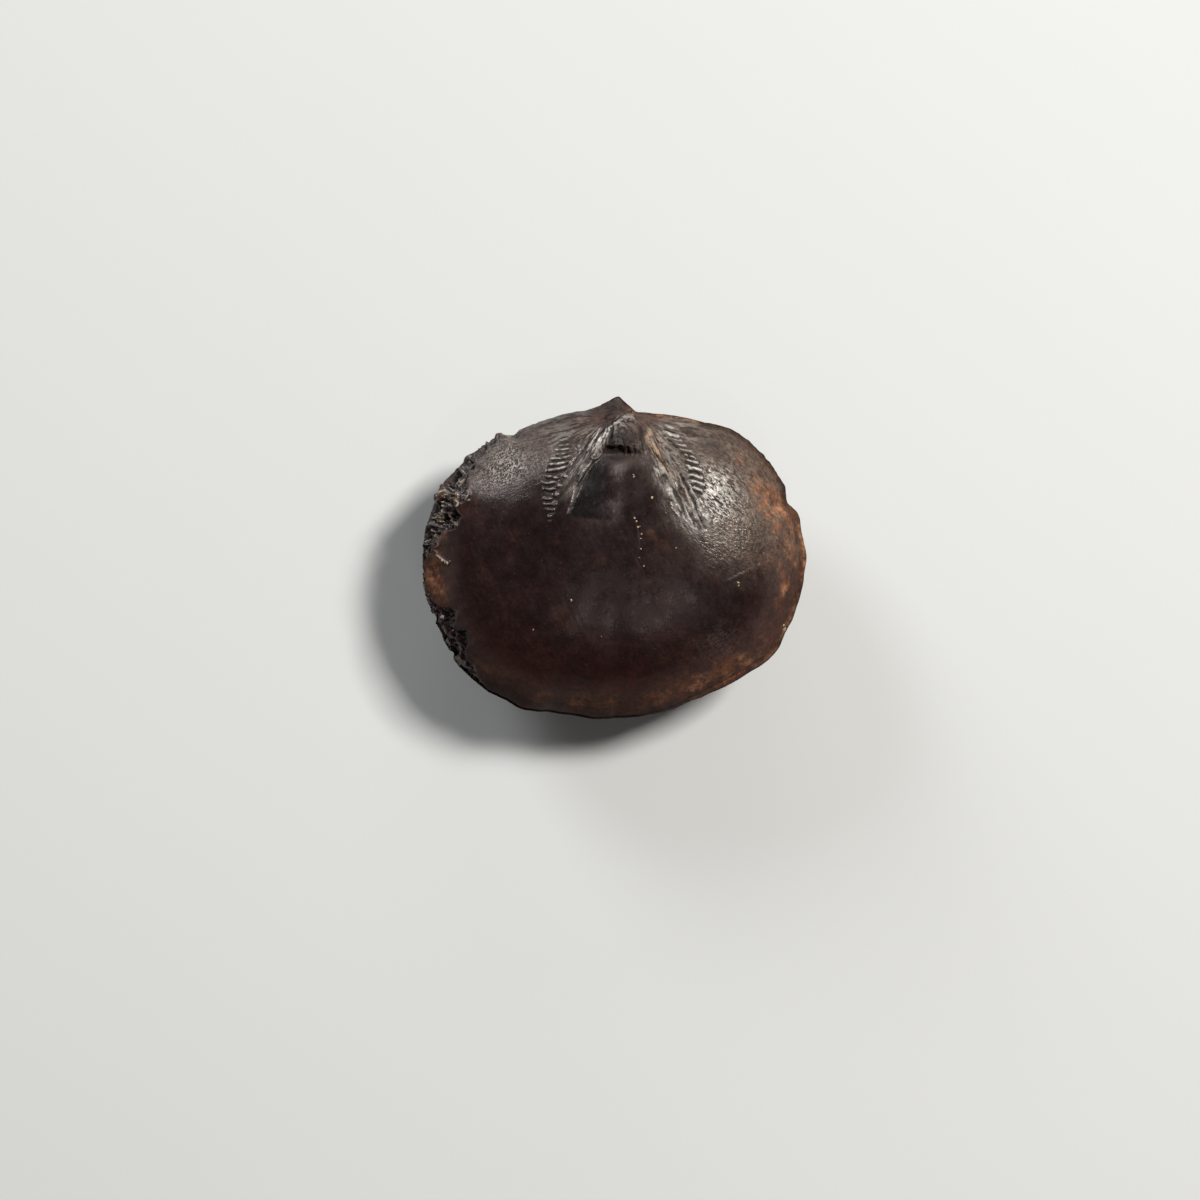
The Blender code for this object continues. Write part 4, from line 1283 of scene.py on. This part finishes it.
class NodeSheet:
    """A material's node tree, with short calls for the nodes that the finishes use."""

    def __init__(self, name: str) -> None:
        """Starts a material with its shader and output linked.

        Args:
            name: the material's name.
        """
        self.material = bpy.data.materials.new(name)
        self.material.use_nodes = True
        self.tree = self.material.node_tree
        self.shader = self.tree.nodes["Principled BSDF"]
        self.place = self.tree.nodes.new("ShaderNodeTexCoord").outputs["Object"]

    def link(self, output: Socket, target: Socket) -> None:
        """Links one socket to another."""
        self.tree.links.new(output, target)

    def put(self, target: Socket, value: object) -> None:
        """Links value to a socket if it is a socket, and otherwise sets it."""
        if isinstance(value, Socket):
            self.link(value, target)
        else:
            target.default_value = value

    def attribute(self, name: str, output: str = "Fac") -> Socket:
        """Reads one of the mesh's own maps."""
        node = self.tree.nodes.new("ShaderNodeAttribute")
        node.attribute_name = name
        return node.outputs[output]

    def texture(self, vector: Socket, scale: float, detail: float, rough: float, warp: float) -> Socket:
        """Makes a noise texture.

        Args:
            vector: where it is read.
            scale: grains to one unit of the vector.
            detail: number of finer octaves.
            rough: weight of the finer octaves.
            warp: how far the pattern is bent.

        Returns:
            The noise's value, about 0.3 to 0.7.
        """
        node = self.tree.nodes.new("ShaderNodeTexNoise")
        self.link(vector, node.inputs["Vector"])
        settings = {"Scale": scale, "Detail": detail, "Roughness": rough, "Distortion": warp}
        for name, value in settings.items():
            node.inputs[name].default_value = value
        return node.outputs["Fac"]

    def noise(self, pitch: float, detail: float, rough: float) -> Socket:
        """Makes a noise whose coarsest grain is pitch millimetres wide."""
        return self.texture(self.place, 1 / (pitch * MM), detail, rough, 0.0)

    def combed(self, turn: float, size: Plan, detail: float = 0.0, warp: float = 0.3) -> Socket:
        """Makes a noise drawn out along one direction in plan.

        Args:
            turn: plan angle of its long axis, in degrees.
            size: length and width of its grain, in millimetres.
            detail: number of finer octaves.
            warp: how far the pattern is bent.

        Returns:
            The noise's value, about 0.2 to 0.8.
        """
        stretch = self.tree.nodes.new("ShaderNodeMapping")
        stretch.vector_type = "TEXTURE"
        stretch.inputs["Rotation"].default_value = (0.0, 0.0, math.radians(turn))
        stretch.inputs["Scale"].default_value = (size[0] * MM, size[1] * MM, size[1] * MM)
        self.link(self.place, stretch.inputs["Vector"])
        return self.texture(stretch.outputs["Vector"], 1.0, detail, 0.5, warp)

    def math(self, operation: str, first: object, second: object, clamp: bool = False) -> Socket:
        """Makes a Math node and gives its value."""
        node = self.tree.nodes.new("ShaderNodeMath")
        node.operation = operation
        node.use_clamp = clamp
        self.put(node.inputs[0], first)
        self.put(node.inputs[1], second)
        return node.outputs[0]

    def times(self, first: object, second: object) -> Socket:
        """Multiplies two values."""
        return self.math("MULTIPLY", first, second)

    def highest(self, *values: Socket) -> Socket:
        """Gives the highest of several values."""
        return functools.reduce(lambda most, value: self.math("MAXIMUM", most, value), values)

    def spread(self, value: Socket, low: float, high: float, to: Plan = (0.0, 1.0)) -> Socket:
        """Maps low..high onto another range with an S curve.

        Args:
            value: what is mapped.
            low: value that gives the first of the new range.
            high: value that gives its second.
            to: the new range.

        Returns:
            The mapped value.
        """
        node = self.tree.nodes.new("ShaderNodeMapRange")
        node.interpolation_type = "SMOOTHSTEP"
        self.link(value, node.inputs["Value"])
        ends = zip(("From Min", "From Max", "To Min", "To Max"), (low, high, *to))
        for name, end in ends:
            node.inputs[name].default_value = end
        return node.outputs["Result"]

    def mix(self, share: object, first: object, second: object) -> Socket:
        """Mixes two colours by a share."""
        node = self.tree.nodes.new("ShaderNodeMix")
        node.data_type = "RGBA"
        self.put(node.inputs["Factor"], share)
        for socket, value in ((node.inputs[6], first), (node.inputs[7], second)):
            self.put(socket, (*value, 1.0) if isinstance(value, tuple) else value)
        return node.outputs[2]

    def mix_by(self, colour: Socket, factor: Socket) -> Socket:
        """Makes a colour lighter or darker by a factor."""
        node = self.tree.nodes.new("ShaderNodeVectorMath")
        node.operation = "SCALE"
        self.link(colour, node.inputs[0])
        self.link(factor, node.inputs["Scale"])
        return node.outputs["Vector"]

    def bump(self, height: Socket, rise: float, below: Socket | None = None) -> Socket:
        """Tilts the surface by a height.

        Args:
            height: the height, 0 to 1.
            rise: what 1 stands for, in millimetres.
            below: the normal of the bump under this one.

        Returns:
            The tilted normal.
        """
        node = self.tree.nodes.new("ShaderNodeBump")
        node.inputs["Distance"].default_value = rise * MM
        self.link(height, node.inputs["Height"])
        if below is not None:
            self.link(below, node.inputs["Normal"])
        return node.outputs["Normal"]


@dataclass(frozen=True)
class Marks:
    """The fine patterns that a finish's colour, gloss and relief share.

    Attributes:
        striae: the fine lines that follow the mesh's own flow map.
        creases: the worm-like wrinkles.
        needles: the needle marks, in three directions.
        raised: 1 on every raised mark.
        low: 1 in every groove between them.
        rust: the rust, broken up into grains.
    """

    striae: Socket
    creases: Socket
    needles: Socket
    raised: Socket
    low: Socket
    rust: Socket


@dataclass(frozen=True)
class IronMineral:
    """The fossil's finish: near-black iron mineral, dusted and rusted, with painted sheen and highlights on
    its lit places and painted shade in its low places.

    Attributes:
        dark: the mineral where it is blackest.
        brown: the mineral between its blackest places.
        warm: the red-brown of the margin and the front.
        dust_and_sheen: the dusty layer, which also stands for a painted sheen on the lit right flank, hinge
            and left shoulder.
        deep_rust: the darker rust.
        bright_rust: the brighter rust.
        ochre: the tan border and specks.
        broken: freshly broken mineral, and painted shade in the grooves, along the hinge and the margin, on
            the knob's face and over the ladders.
        pale_and_highlight: skin that is worn pale, and painted highlights on crests, shoulders and the umbo.
        facet: the paler facets of the broken edge.
        wall: the standing walls of the broken edge.
        grain: the sand grains.
        scar: the muscle scar.
        index: the index of refraction.
        gloss_tint: the tint of the gloss.
    """

    dark: Colour = (0.0070, 0.0030, 0.0032)
    brown: Colour = (0.0135, 0.0062, 0.0057)
    warm: Colour = (0.0195, 0.0048, 0.0033)
    # dusty layer and painted sheen
    dust_and_sheen: Colour = (0.079, 0.053, 0.035)
    deep_rust: Colour = (0.078, 0.025, 0.010)
    bright_rust: Colour = (0.195, 0.085, 0.040)
    ochre: Colour = (0.265, 0.158, 0.082)
    # broken mineral and painted shade
    broken: Colour = (0.009, 0.0065, 0.006)
    # pale worn skin and painted highlights
    pale_and_highlight: Colour = (0.385, 0.365, 0.335)
    facet: Colour = (0.058, 0.030, 0.019)
    wall: Colour = (0.215, 0.175, 0.130)
    grain: Colour = (0.300, 0.215, 0.130)
    scar: Colour = (0.0050, 0.0048, 0.0052)
    index: float = 1.41
    gloss_tint: Colour = (1.0, 0.90, 0.86)

    def marks(self, sheet: NodeSheet) -> Marks:
        """Makes the fine patterns."""
        striae, worms, needles, relief = map(sheet.attribute, ("striae", "worms", "needles", "relief"))
        lines = sheet.texture(sheet.attribute("flow", "Vector"), 1.0, 2.0, 0.6, 0.25)
        crease = sheet.combed(-38.0, (0.25, 0.115), 1.0, 1.1)
        combs = [sheet.combed(turn, (0.30, 0.056)) for turn in (18.0, 74.0, -46.0)]
        needle = sheet.highest(*(sheet.spread(comb, 0.50, 0.70) for comb in combs))
        # raised marks, whose crests the colour paints pale as wear and painted highlight
        raised = sheet.highest(
            sheet.times(sheet.spread(lines, 0.42, 0.60), striae),
            sheet.times(sheet.spread(crease, 0.42, 0.58), worms),
            sheet.times(needle, needles),
            sheet.spread(relief, 0.50, 1.0, (0.0, 0.85)),
        )
        # grooves between the marks, which the colour paints dark as painted shade
        low = sheet.highest(
            sheet.times(sheet.spread(lines, 0.53, 0.40), striae),
            sheet.times(sheet.spread(crease, 0.50, 0.36), worms),
            sheet.times(sheet.spread(needle, 0.25, 0.0, (0.0, 0.7)), needles),
            sheet.spread(relief, 0.05, -0.60),
        )
        rust = sheet.spread(sheet.noise(0.42, 4, 0.65), 0.34, 0.58, (0.15, 1.0))
        return Marks(
            striae=sheet.times(lines, striae),
            creases=sheet.times(crease, worms),
            needles=sheet.times(needle, needles),
            raised=raised,
            low=low,
            rust=sheet.times(sheet.attribute("rust"), rust),
        )

    def colour(self, sheet: NodeSheet, marks: Marks) -> Socket:
        """Lays the colours over each other, from the bare mineral up."""
        warm, dust_and_sheen, ochre, muscle = map(sheet.attribute, ("warm", "dust_and_sheen", "ochre", "muscle"))
        flaked, facet, wall, pale_and_highlight = map(sheet.attribute, ("flaked", "facet", "wall", "pale_and_highlight"))
        wide, fine = sheet.noise(2.4, 4, 0.6), sheet.noise(0.20, 3, 0.65)
        rust_tone = sheet.spread(sheet.noise(0.75, 4, 0.6), 0.40, 0.64)
        layers = (
            (sheet.times(warm, sheet.spread(wide, 0.30, 0.60, (0.5, 1.0))), self.warm),
            # dusty layer, also a painted sheen on the lit right flank, hinge and left shoulder
            (sheet.times(dust_and_sheen, sheet.spread(fine, 0.36, 0.62, (0.35, 1.0))), self.dust_and_sheen),
            (marks.rust, sheet.mix(rust_tone, self.deep_rust, self.bright_rust)),
            (sheet.times(ochre, sheet.spread(fine, 0.32, 0.55, (0.4, 1.0))), self.ochre),
            (sheet.times(muscle, 0.8), self.scar),
            # dark broken mineral, and painted shade along the hinge and margin, on the knob's face and over
            # the ladders
            (sheet.times(flaked, 0.85), self.broken),
            (sheet.spread(facet, 0.15, 0.75, (0.0, 0.8)), self.facet),
            (sheet.spread(wall, 0.58, 1.0, (0.0, 0.85)), self.wall),
            # crests painted pale: worn skin and painted highlights
            (sheet.math("MULTIPLY", marks.raised, sheet.math("ADD", 0.12, pale_and_highlight), clamp=True), self.pale_and_highlight),
            # painted shade in the grooves
            (sheet.times(marks.low, 0.88), self.broken),
        )
        colour = sheet.mix(sheet.spread(wide, 0.40, 0.66), self.dark, self.brown)
        for share, layer in layers:
            colour = sheet.mix(share, colour, layer)
        unevenness = (
            sheet.spread(sheet.noise(0.12, 3, 0.65), 0.35, 0.65, (0.76, 1.24)),
            sheet.spread(sheet.noise(0.55, 3, 0.6), 0.35, 0.65, (0.80, 1.20)),
            sheet.spread(sheet.combed(-62.0, (2.2, 0.13), 2.0), 0.35, 0.65, (0.86, 1.14)),
        )
        for factor in unevenness:
            colour = sheet.mix_by(colour, factor)
        speckle = sheet.spread(sheet.noise(0.10, 2, 0.5), 0.68, 0.75, (0.0, 0.35))
        return sheet.mix(sheet.attribute("pale"), sheet.mix(speckle, colour, self.dust_and_sheen), self.grain)

    def roughness(self, sheet: NodeSheet, marks: Marks) -> Socket:
        """Makes rust, grooves, needle marks, worn edges and matt places dull, and the scar glossy."""
        needles, muscle, edge, matt = map(sheet.attribute, ("needles", "muscle", "edge", "matt"))
        rough = sheet.spread(sheet.noise(0.6, 3, 0.6), 0.35, 0.65, (0.24, 0.33))
        rough = sheet.math("ADD", rough, sheet.times(marks.rust, 0.30))
        rough = sheet.math("ADD", rough, sheet.times(marks.low, 0.45))
        rough = sheet.math("ADD", rough, sheet.times(needles, 0.06))
        rough = sheet.math("SUBTRACT", rough, sheet.times(muscle, 0.15))
        rough = sheet.math("ADD", rough, sheet.times(edge, 0.58))
        return sheet.math("ADD", rough, sheet.times(matt, 0.30), clamp=True)

    def normal(self, sheet: NodeSheet, marks: Marks) -> Socket:
        """Stacks the bumps that are finer than the mesh."""
        matt, dust_and_sheen, rust = map(sheet.attribute, ("matt", "dust_and_sheen", "rust"))
        rugged = sheet.math("ADD", sheet.math("ADD", 0.42, matt), sheet.math("ADD", dust_and_sheen, rust), clamp=True)
        normal = sheet.bump(sheet.noise(0.9, 2, 0.45), 0.007)
        normal = sheet.bump(marks.striae, 0.075, normal)
        normal = sheet.bump(marks.creases, 0.11, normal)
        normal = sheet.bump(marks.needles, 0.016, normal)
        return sheet.bump(sheet.times(sheet.noise(0.10, 3, 0.65), rugged), 0.012, normal)

    def material(self) -> bpy.types.Material:
        """Builds the node tree."""
        sheet = NodeSheet("iron_mineral")
        marks = self.marks(sheet)
        sheet.link(self.colour(sheet, marks), sheet.shader.inputs["Base Color"])
        sheet.link(self.roughness(sheet, marks), sheet.shader.inputs["Roughness"])
        sheet.link(self.normal(sheet, marks), sheet.shader.inputs["Normal"])
        sheet.shader.inputs["IOR"].default_value = self.index
        sheet.shader.inputs["Specular Tint"].default_value = (*self.gloss_tint, 1.0)
        return sheet.material


@dataclass(frozen=True)
class PaleBoard:
    """The floor's finish: matt off-white board.

    Attributes:
        tone: its colour.
        unevenness: how dark its darker clouds are, against its colour.
    """

    tone: Colour = (0.48, 0.485, 0.48)
    unevenness: float = 0.985

    def material(self) -> bpy.types.Material:
        """Builds the node tree."""
        sheet = NodeSheet("pale_board")
        darker = tuple(value * self.unevenness for value in self.tone)
        sheet.link(sheet.mix(sheet.noise(14.0, 3, 0.5), self.tone, darker), sheet.shader.inputs["Base Color"])
        sheet.shader.inputs["Roughness"].default_value = 0.8
        sheet.shader.inputs["Specular IOR Level"].default_value = 0.2
        return sheet.material


def set_out(name: str, shape: bmesh.types.BMesh, finish: bpy.types.Material) -> bpy.types.Object:
    """Makes a finished bmesh an object of the scene.

    Args:
        name: the object's name.
        shape: its mesh, which is freed.
        finish: its one material.

    Returns:
        The object.
    """
    mesh = bpy.data.meshes.new(name)
    shape.to_mesh(mesh)
    shape.free()
    mesh.materials.append(finish)
    made = bpy.data.objects.new(name, mesh)
    bpy.context.scene.collection.objects.link(made)
    return made


def store(mesh: bpy.types.Mesh, name: str, values: Array) -> None:
    """Stores a map with one value or one vector for each of a mesh's points."""
    kind, key = ("FLOAT_VECTOR", "vector") if values.ndim == 2 else ("FLOAT", "value")
    mesh.attributes.new(name, kind, "POINT").data.foreach_set(key, values.astype(np.float32).ravel())


@dataclass
class Fossil:
    """The whole fossil as one closed skin.

    Attributes:
        margin: its outline.
        segments: divisions round the shell.
        upper_rings: rings over the upper valve.
        lower_rings: rings over the lower valve.
        crowding: plan angle, half-width in degrees and amount of each place with closer segments.
        edge_crowding: how much closer the rings lie near the margin.
        field_pole: where the upper valve's rings close in.
        grain_seed: of the small differences between grains.
        grain_places: plan place and radius of each sand grain stuck to the shell, in millimetres.
        upper: the upper valve.
        lower: the lower valve.
        detail: the fine relief.
        weathering: the maps of rust, dust and wear.
        finish: the material of the skin and the grains.
        surface: for the built upper valve, the plan place each point covers, the point and its normal.
    """

    margin: Margin = field(default_factory=Margin)
    segments: int = 524
    upper_rings: int = 152
    lower_rings: int = 37
    crowding: Sequence[tuple[float, float, float]] = (
        (180.0, 42.0, 1.2),
        (90.0, 16.0, 1.0),
        (32.0, 18.0, 0.5),
    )
    edge_crowding: float = 1.35
    field_pole: Plan = (0.4, 3.0)
    grain_seed: int = 11
    grain_places: Sequence[tuple[float, float, float]] = (
        (0.78, 3.23, 0.030),
        (0.79, 3.14, 0.034),
        (1.51, 2.32, 0.048),
        (0.83, 1.53, 0.034),
        (0.88, 1.42, 0.030),
        (0.95, 1.22, 0.044),
        (1.02, 1.17, 0.026),
        (1.09, 0.90, 0.046),
        (1.05, 0.72, 0.026),
        (1.07, 0.30, 0.032),
        (0.99, -0.02, 0.022),
        (1.17, -0.36, 0.036),
        (-1.67, -1.67, 0.042),
        (4.83, -1.00, 0.050),
        (4.88, -1.08, 0.034),
        (-3.15, -2.80, 0.032),
        (-5.82, -3.80, 0.032),
        (6.66, -2.80, 0.075),
        (6.60, -2.68, 0.045),
        (-6.71, -0.04, 0.034),
        (-6.62, -0.11, 0.042),
        (-6.53, -0.17, 0.050),
        (-6.44, -0.23, 0.056),
        (-6.39, -0.16, 0.034),
        (-1.55, 2.55, 0.030),
        (2.45, 0.35, 0.024),
        (-0.45, -3.10, 0.022),
    )
    upper: UpperValve = field(init=False)
    lower: LowerValve = field(init=False)
    detail: SurfaceDetail = field(init=False)
    weathering: Weathering = field(init=False)
    finish: bpy.types.Material = field(init=False)
    surface: tuple[Array, Array, Array] = field(init=False)

    def __post_init__(self) -> None:
        """Makes the valves, their relief and the finish from the outline."""
        self.upper = UpperValve(self.margin)
        self.lower = LowerValve(self.margin)
        self.detail = SurfaceDetail(self.margin)
        self.weathering = Weathering(self.margin, self.detail)
        self.finish = IronMineral().material()

    def blank(self) -> bpy.types.Object:
        """Makes the unit UV sphere that the skin is worked from."""
        sphere = bmesh.new()
        rings = self.upper_rings + self.lower_rings
        bmesh.ops.create_uvsphere(sphere, u_segments=self.segments, v_segments=rings, radius=1)
        return set_out("brachiopod_skin", sphere, self.finish)

    def segment_angles(self) -> Array:
        """Gives the plan angle of each segment, closer together where the shell has more detail."""
        fine = np.linspace(0, TAU, 7201)
        density = np.ones_like(fine)
        for degrees, half_width, extra in self.crowding:
            density += extra * np.exp(-((angle_gap(fine, degrees) / half_width) ** 2))
        turned = np.concatenate(([0], np.cumsum((density[1:] + density[:-1]) / 2)))
        return np.interp(np.arange(self.segments) / self.segments, turned / turned[-1], fine)

    def plan(self, unit: Array) -> tuple[Array, Array, Array]:
        """Spreads the unit sphere's points over the shell's plan.

        Args:
            unit: the sphere's points.

        Returns:
            Plan x and y, and the ring: 0 at the margin, plus on the upper valve, minus on the lower.
        """
        latitude = np.arcsin(np.clip(unit[:, 2], -1, 1))
        ring = np.round((latitude / math.pi + 0.5) * (self.upper_rings + self.lower_rings)) - self.lower_rings
        turn = np.arctan2(unit[:, 1], unit[:, 0]) % TAU
        index = np.round(turn / TAU * self.segments).astype(int) % self.segments
        edge_x, edge_y = (values[index] for values in self.margin.points(self.segment_angles()))
        inward = np.where(ring >= 0, ring / self.upper_rings, -ring / self.lower_rings)
        share = 1 - inward**self.edge_crowding
        blend = np.where(ring >= 0, smoothstep(0.35, 1.0, share), 1.0)
        crown = np.where((ring >= 0)[:, None], [self.upper.crown], [self.lower.crown])
        start = np.array(self.field_pole) * (1 - blend)[:, None] + crown * blend[:, None]
        x = start[:, 0] + share * (edge_x - start[:, 0])
        y = start[:, 1] + share * (edge_y - start[:, 1])
        return x, y, ring

    def broad_form(self, x: Array, y: Array, ring: Array) -> Array:
        """Raises the plan into the two valves.

        Args:
            x: plan x of each point.
            y: plan y of each point.
            ring: its ring, as plan() gives it.

        Returns:
            Points as rows of x, y, z in millimetres, with the worn flat at z = 0.
        """
        level = self.margin.height(self.margin.angle(x, y))
        sides = self.margin.level
        level = sides + (level - sides) * self.margin.share(x, y, self.upper.crown) ** 3
        above, below = level + self.upper.height(x, y), level - self.lower.height(x, y)
        z = np.where(ring > 0, above, np.where(ring < 0, below, level))
        return np.stack([x, y, np.maximum(z, 0)], axis=1)

    def normals(self, mesh: bpy.types.Mesh, points: Array) -> Array:
        """Gives the outward normal at each point of the mesh once it has these places."""
        mesh.vertices.foreach_set("co", points.astype(np.float32).ravel())
        mesh.update()
        values = np.zeros(len(points) * 3, np.float32)
        mesh.vertex_normals.foreach_get("vector", values)
        return values.reshape(-1, 3).astype(float)

    def build(self) -> bpy.types.Object:
        """Makes the skin, its maps and its finish.

        Returns:
            The finished object, in the scene's collection.
        """
        skin = self.blank()
        mesh = skin.data
        unit = np.zeros(len(mesh.vertices) * 3, np.float32)
        mesh.vertices.foreach_get("co", unit)
        x, y, ring = self.plan(unit.reshape(-1, 3).astype(float))
        base = self.broad_form(x, y, ring)
        normal = self.normals(mesh, base)

        on = ring >= 0
        flaked, relief = np.zeros(len(base)), np.zeros(len(base))
        flaked[on] = self.detail.flaked(x[on], y[on])
        relief[on] = self.detail.relief(base[on])
        relief = relief * (1 - 0.2 * flaked)
        broken, walls, facets = self.detail.broken_relief(base, flaked)
        uneven = 0.014 * grain(base, 1.3, 2.2, 3) + 0.003 * grain(base, 0.28, 6.2, 2)
        rocky = on & (self.weathering.rocky(base) > 0)
        uneven[rocky] += self.weathering.rocky_relief(base[rocky])
        free = smoothstep(0.0, 0.12, base[:, 2]) * smoothstep(-2, 3, np.abs(ring))
        points = base + normal * ((relief + broken + uneven) * free)[:, None]
        points[:, 2] = np.maximum(points[:, 2], 0)
        mesh.vertices.foreach_set("co", (points * MM).astype(np.float32).ravel())
        mesh.update()
        mesh.shade_smooth()

        maps = self.weathering.maps(base, (ring > 0).astype(float), flaked, relief)
        maps |= {"wall": walls * (0.45 + 0.55 * smoothstep(-0.5, 1.5, base[:, 1])), "facet": facets}
        maps |= {"flow": self.weathering.flow(base)}
        for name, values in maps.items():
            store(mesh, name, values)
        LOG.info("skin: %d vertices, %d strokes", len(points), len(self.detail.strokes))
        shown = np.stack(self.detail.laid_out(base), axis=1)
        self.surface = (shown[on], points[on], normal[on])
        return skin

    def grains(self) -> bpy.types.Object:
        """Makes the pale sand grains stuck to the upper valve, once the skin is built."""
        shown, points, normal = self.surface
        vary = np.random.default_rng(self.grain_seed)
        lumps = bmesh.new()
        for x, y, radius in self.grain_places:
            nearest = int(np.argmin(np.hypot(shown[:, 0] - x, shown[:, 1] - y)))
            up = Vector(normal[nearest]).to_track_quat("Z", "Y").to_matrix().to_4x4()
            squash = Matrix.Diagonal((*(radius * vary.uniform(0.6, 1.4, 2)), radius * 0.5, 1.0))
            turn = Matrix.Rotation(vary.uniform(0, TAU), 4, "Z")
            place = Matrix.Translation(Vector(points[nearest])) @ up @ turn @ squash
            made = bmesh.ops.create_icosphere(lumps, subdivisions=2, radius=1, matrix=place)["verts"]
            for vertex in made:
                vertex.co += Vector(vary.normal(0, radius * 0.10, 3))
        bmesh.ops.scale(lumps, vec=(MM, MM, MM), verts=lumps.verts)
        grains = set_out("brachiopod_grains", lumps, self.finish)
        store(grains.data, "pale", np.ones(len(grains.data.vertices)))
        LOG.info("grains: %d", len(self.grain_places))
        return grains


@dataclass(frozen=True)
class SoftLight:
    """One soft light that faces the fossil.

    Attributes:
        name: its name.
        tilt: its angle from straight up, in degrees.
        bearing: its plan angle from +X, in degrees.
        distance: from the fossil, in metres.
        size: width and length, in metres.
        power: in watts.
        colour: its tint.
        aim: height of the point it faces, in metres.
    """

    name: str
    tilt: float
    bearing: float
    distance: float
    size: tuple[float, float]
    power: float
    colour: Colour = (1.0, 1.0, 1.0)
    aim: float = 0.004

    def place(self) -> bpy.types.Object:
        """Makes the light and points it at the fossil."""
        light = bpy.data.lights.new(self.name, "AREA")
        light.shape = "RECTANGLE"
        light.size, light.size_y = self.size
        light.energy = self.power
        light.color = self.colour
        tilt, bearing = math.radians(self.tilt), math.radians(self.bearing)
        plan = math.sin(tilt)
        away = Vector((plan * math.cos(bearing), plan * math.sin(bearing), math.cos(tilt)))
        obj = bpy.data.objects.new(self.name, light)
        obj.location = Vector((0, 0, self.aim)) + away * self.distance
        obj.rotation_euler = away.to_track_quat("Z", "Y").to_euler()
        bpy.context.scene.collection.objects.link(obj)
        return obj


@dataclass
class Studio:
    """The floor, the lights and the camera.

    Attributes:
        frame_width: width of what the camera sees at the margin's height, in millimetres.
        sensor_width: of the camera, in millimetres.
        floor_reach: from the middle of the floor to its sides, in metres.
        lights: the soft lights.
        sky: brightness of the room.
    """

    frame_width: float = 46.75
    sensor_width: float = 36.0
    floor_reach: float = 1.2
    lights: Sequence[SoftLight] = (
        SoftLight("key", 40.0, 35.0, 0.30, (0.07, 0.07), 1.46, (1.0, 0.98, 0.94)),
        SoftLight("side", 68.0, 128.0, 0.30, (0.10, 0.10), 0.63, (0.95, 0.97, 1.0)),
        SoftLight("back", 72.0, 88.0, 0.30, (0.12, 0.06), 0.13),
        SoftLight("front", 28.0, -72.0, 0.30, (0.045, 0.045), 0.036, (1.0, 0.94, 0.93)),
    )
    sky: float = 0.09

    def floor(self) -> bpy.types.Object:
        """Makes the pale floor."""
        sheet = bmesh.new()
        bmesh.ops.create_grid(sheet, x_segments=8, y_segments=8, size=self.floor_reach)
        return set_out("floor", sheet, PaleBoard().material())

    def camera(self) -> bpy.types.Object:
        """Makes the camera, which looks straight down."""
        data = bpy.data.cameras.new("camera")
        data.sensor_width = self.sensor_width
        data.lens = data.sensor_width * EYE_DISTANCE / self.frame_width
        data.clip_start = 0.001
        camera = bpy.data.objects.new("camera", data)
        camera.location = (EYE[0] * MM, EYE[1] * MM, (EYE_DISTANCE + Margin.level) * MM)
        bpy.context.scene.collection.objects.link(camera)
        bpy.context.scene.camera = camera
        return camera

    def world(self) -> None:
        """Sets the room's own light."""
        world = bpy.data.worlds.new("room")
        world.use_nodes = True
        background = world.node_tree.nodes["Background"]
        background.inputs["Color"].default_value = (1.0, 0.99, 0.98, 1.0)
        background.inputs["Strength"].default_value = self.sky
        bpy.context.scene.world = world

    def build(self) -> bpy.types.Object:
        """Sets up the whole studio and gives its floor."""
        self.camera()
        self.world()
        for light in self.lights:
            light.place()
        bpy.context.scene.view_settings.view_transform = "Standard"
        return self.floor()


def main() -> None:
    """Builds the fossil and the studio."""
    logging.basicConfig(level=logging.INFO, format="%(name)s: %(message)s")
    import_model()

    fossil = Fossil()
    skin = fossil.build()
    grains = fossil.grains()
    for piece in (skin, grains):
        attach(piece, "root")
    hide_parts("brachiopod")
    Studio().build()


if __name__ == "__main__":
    main()
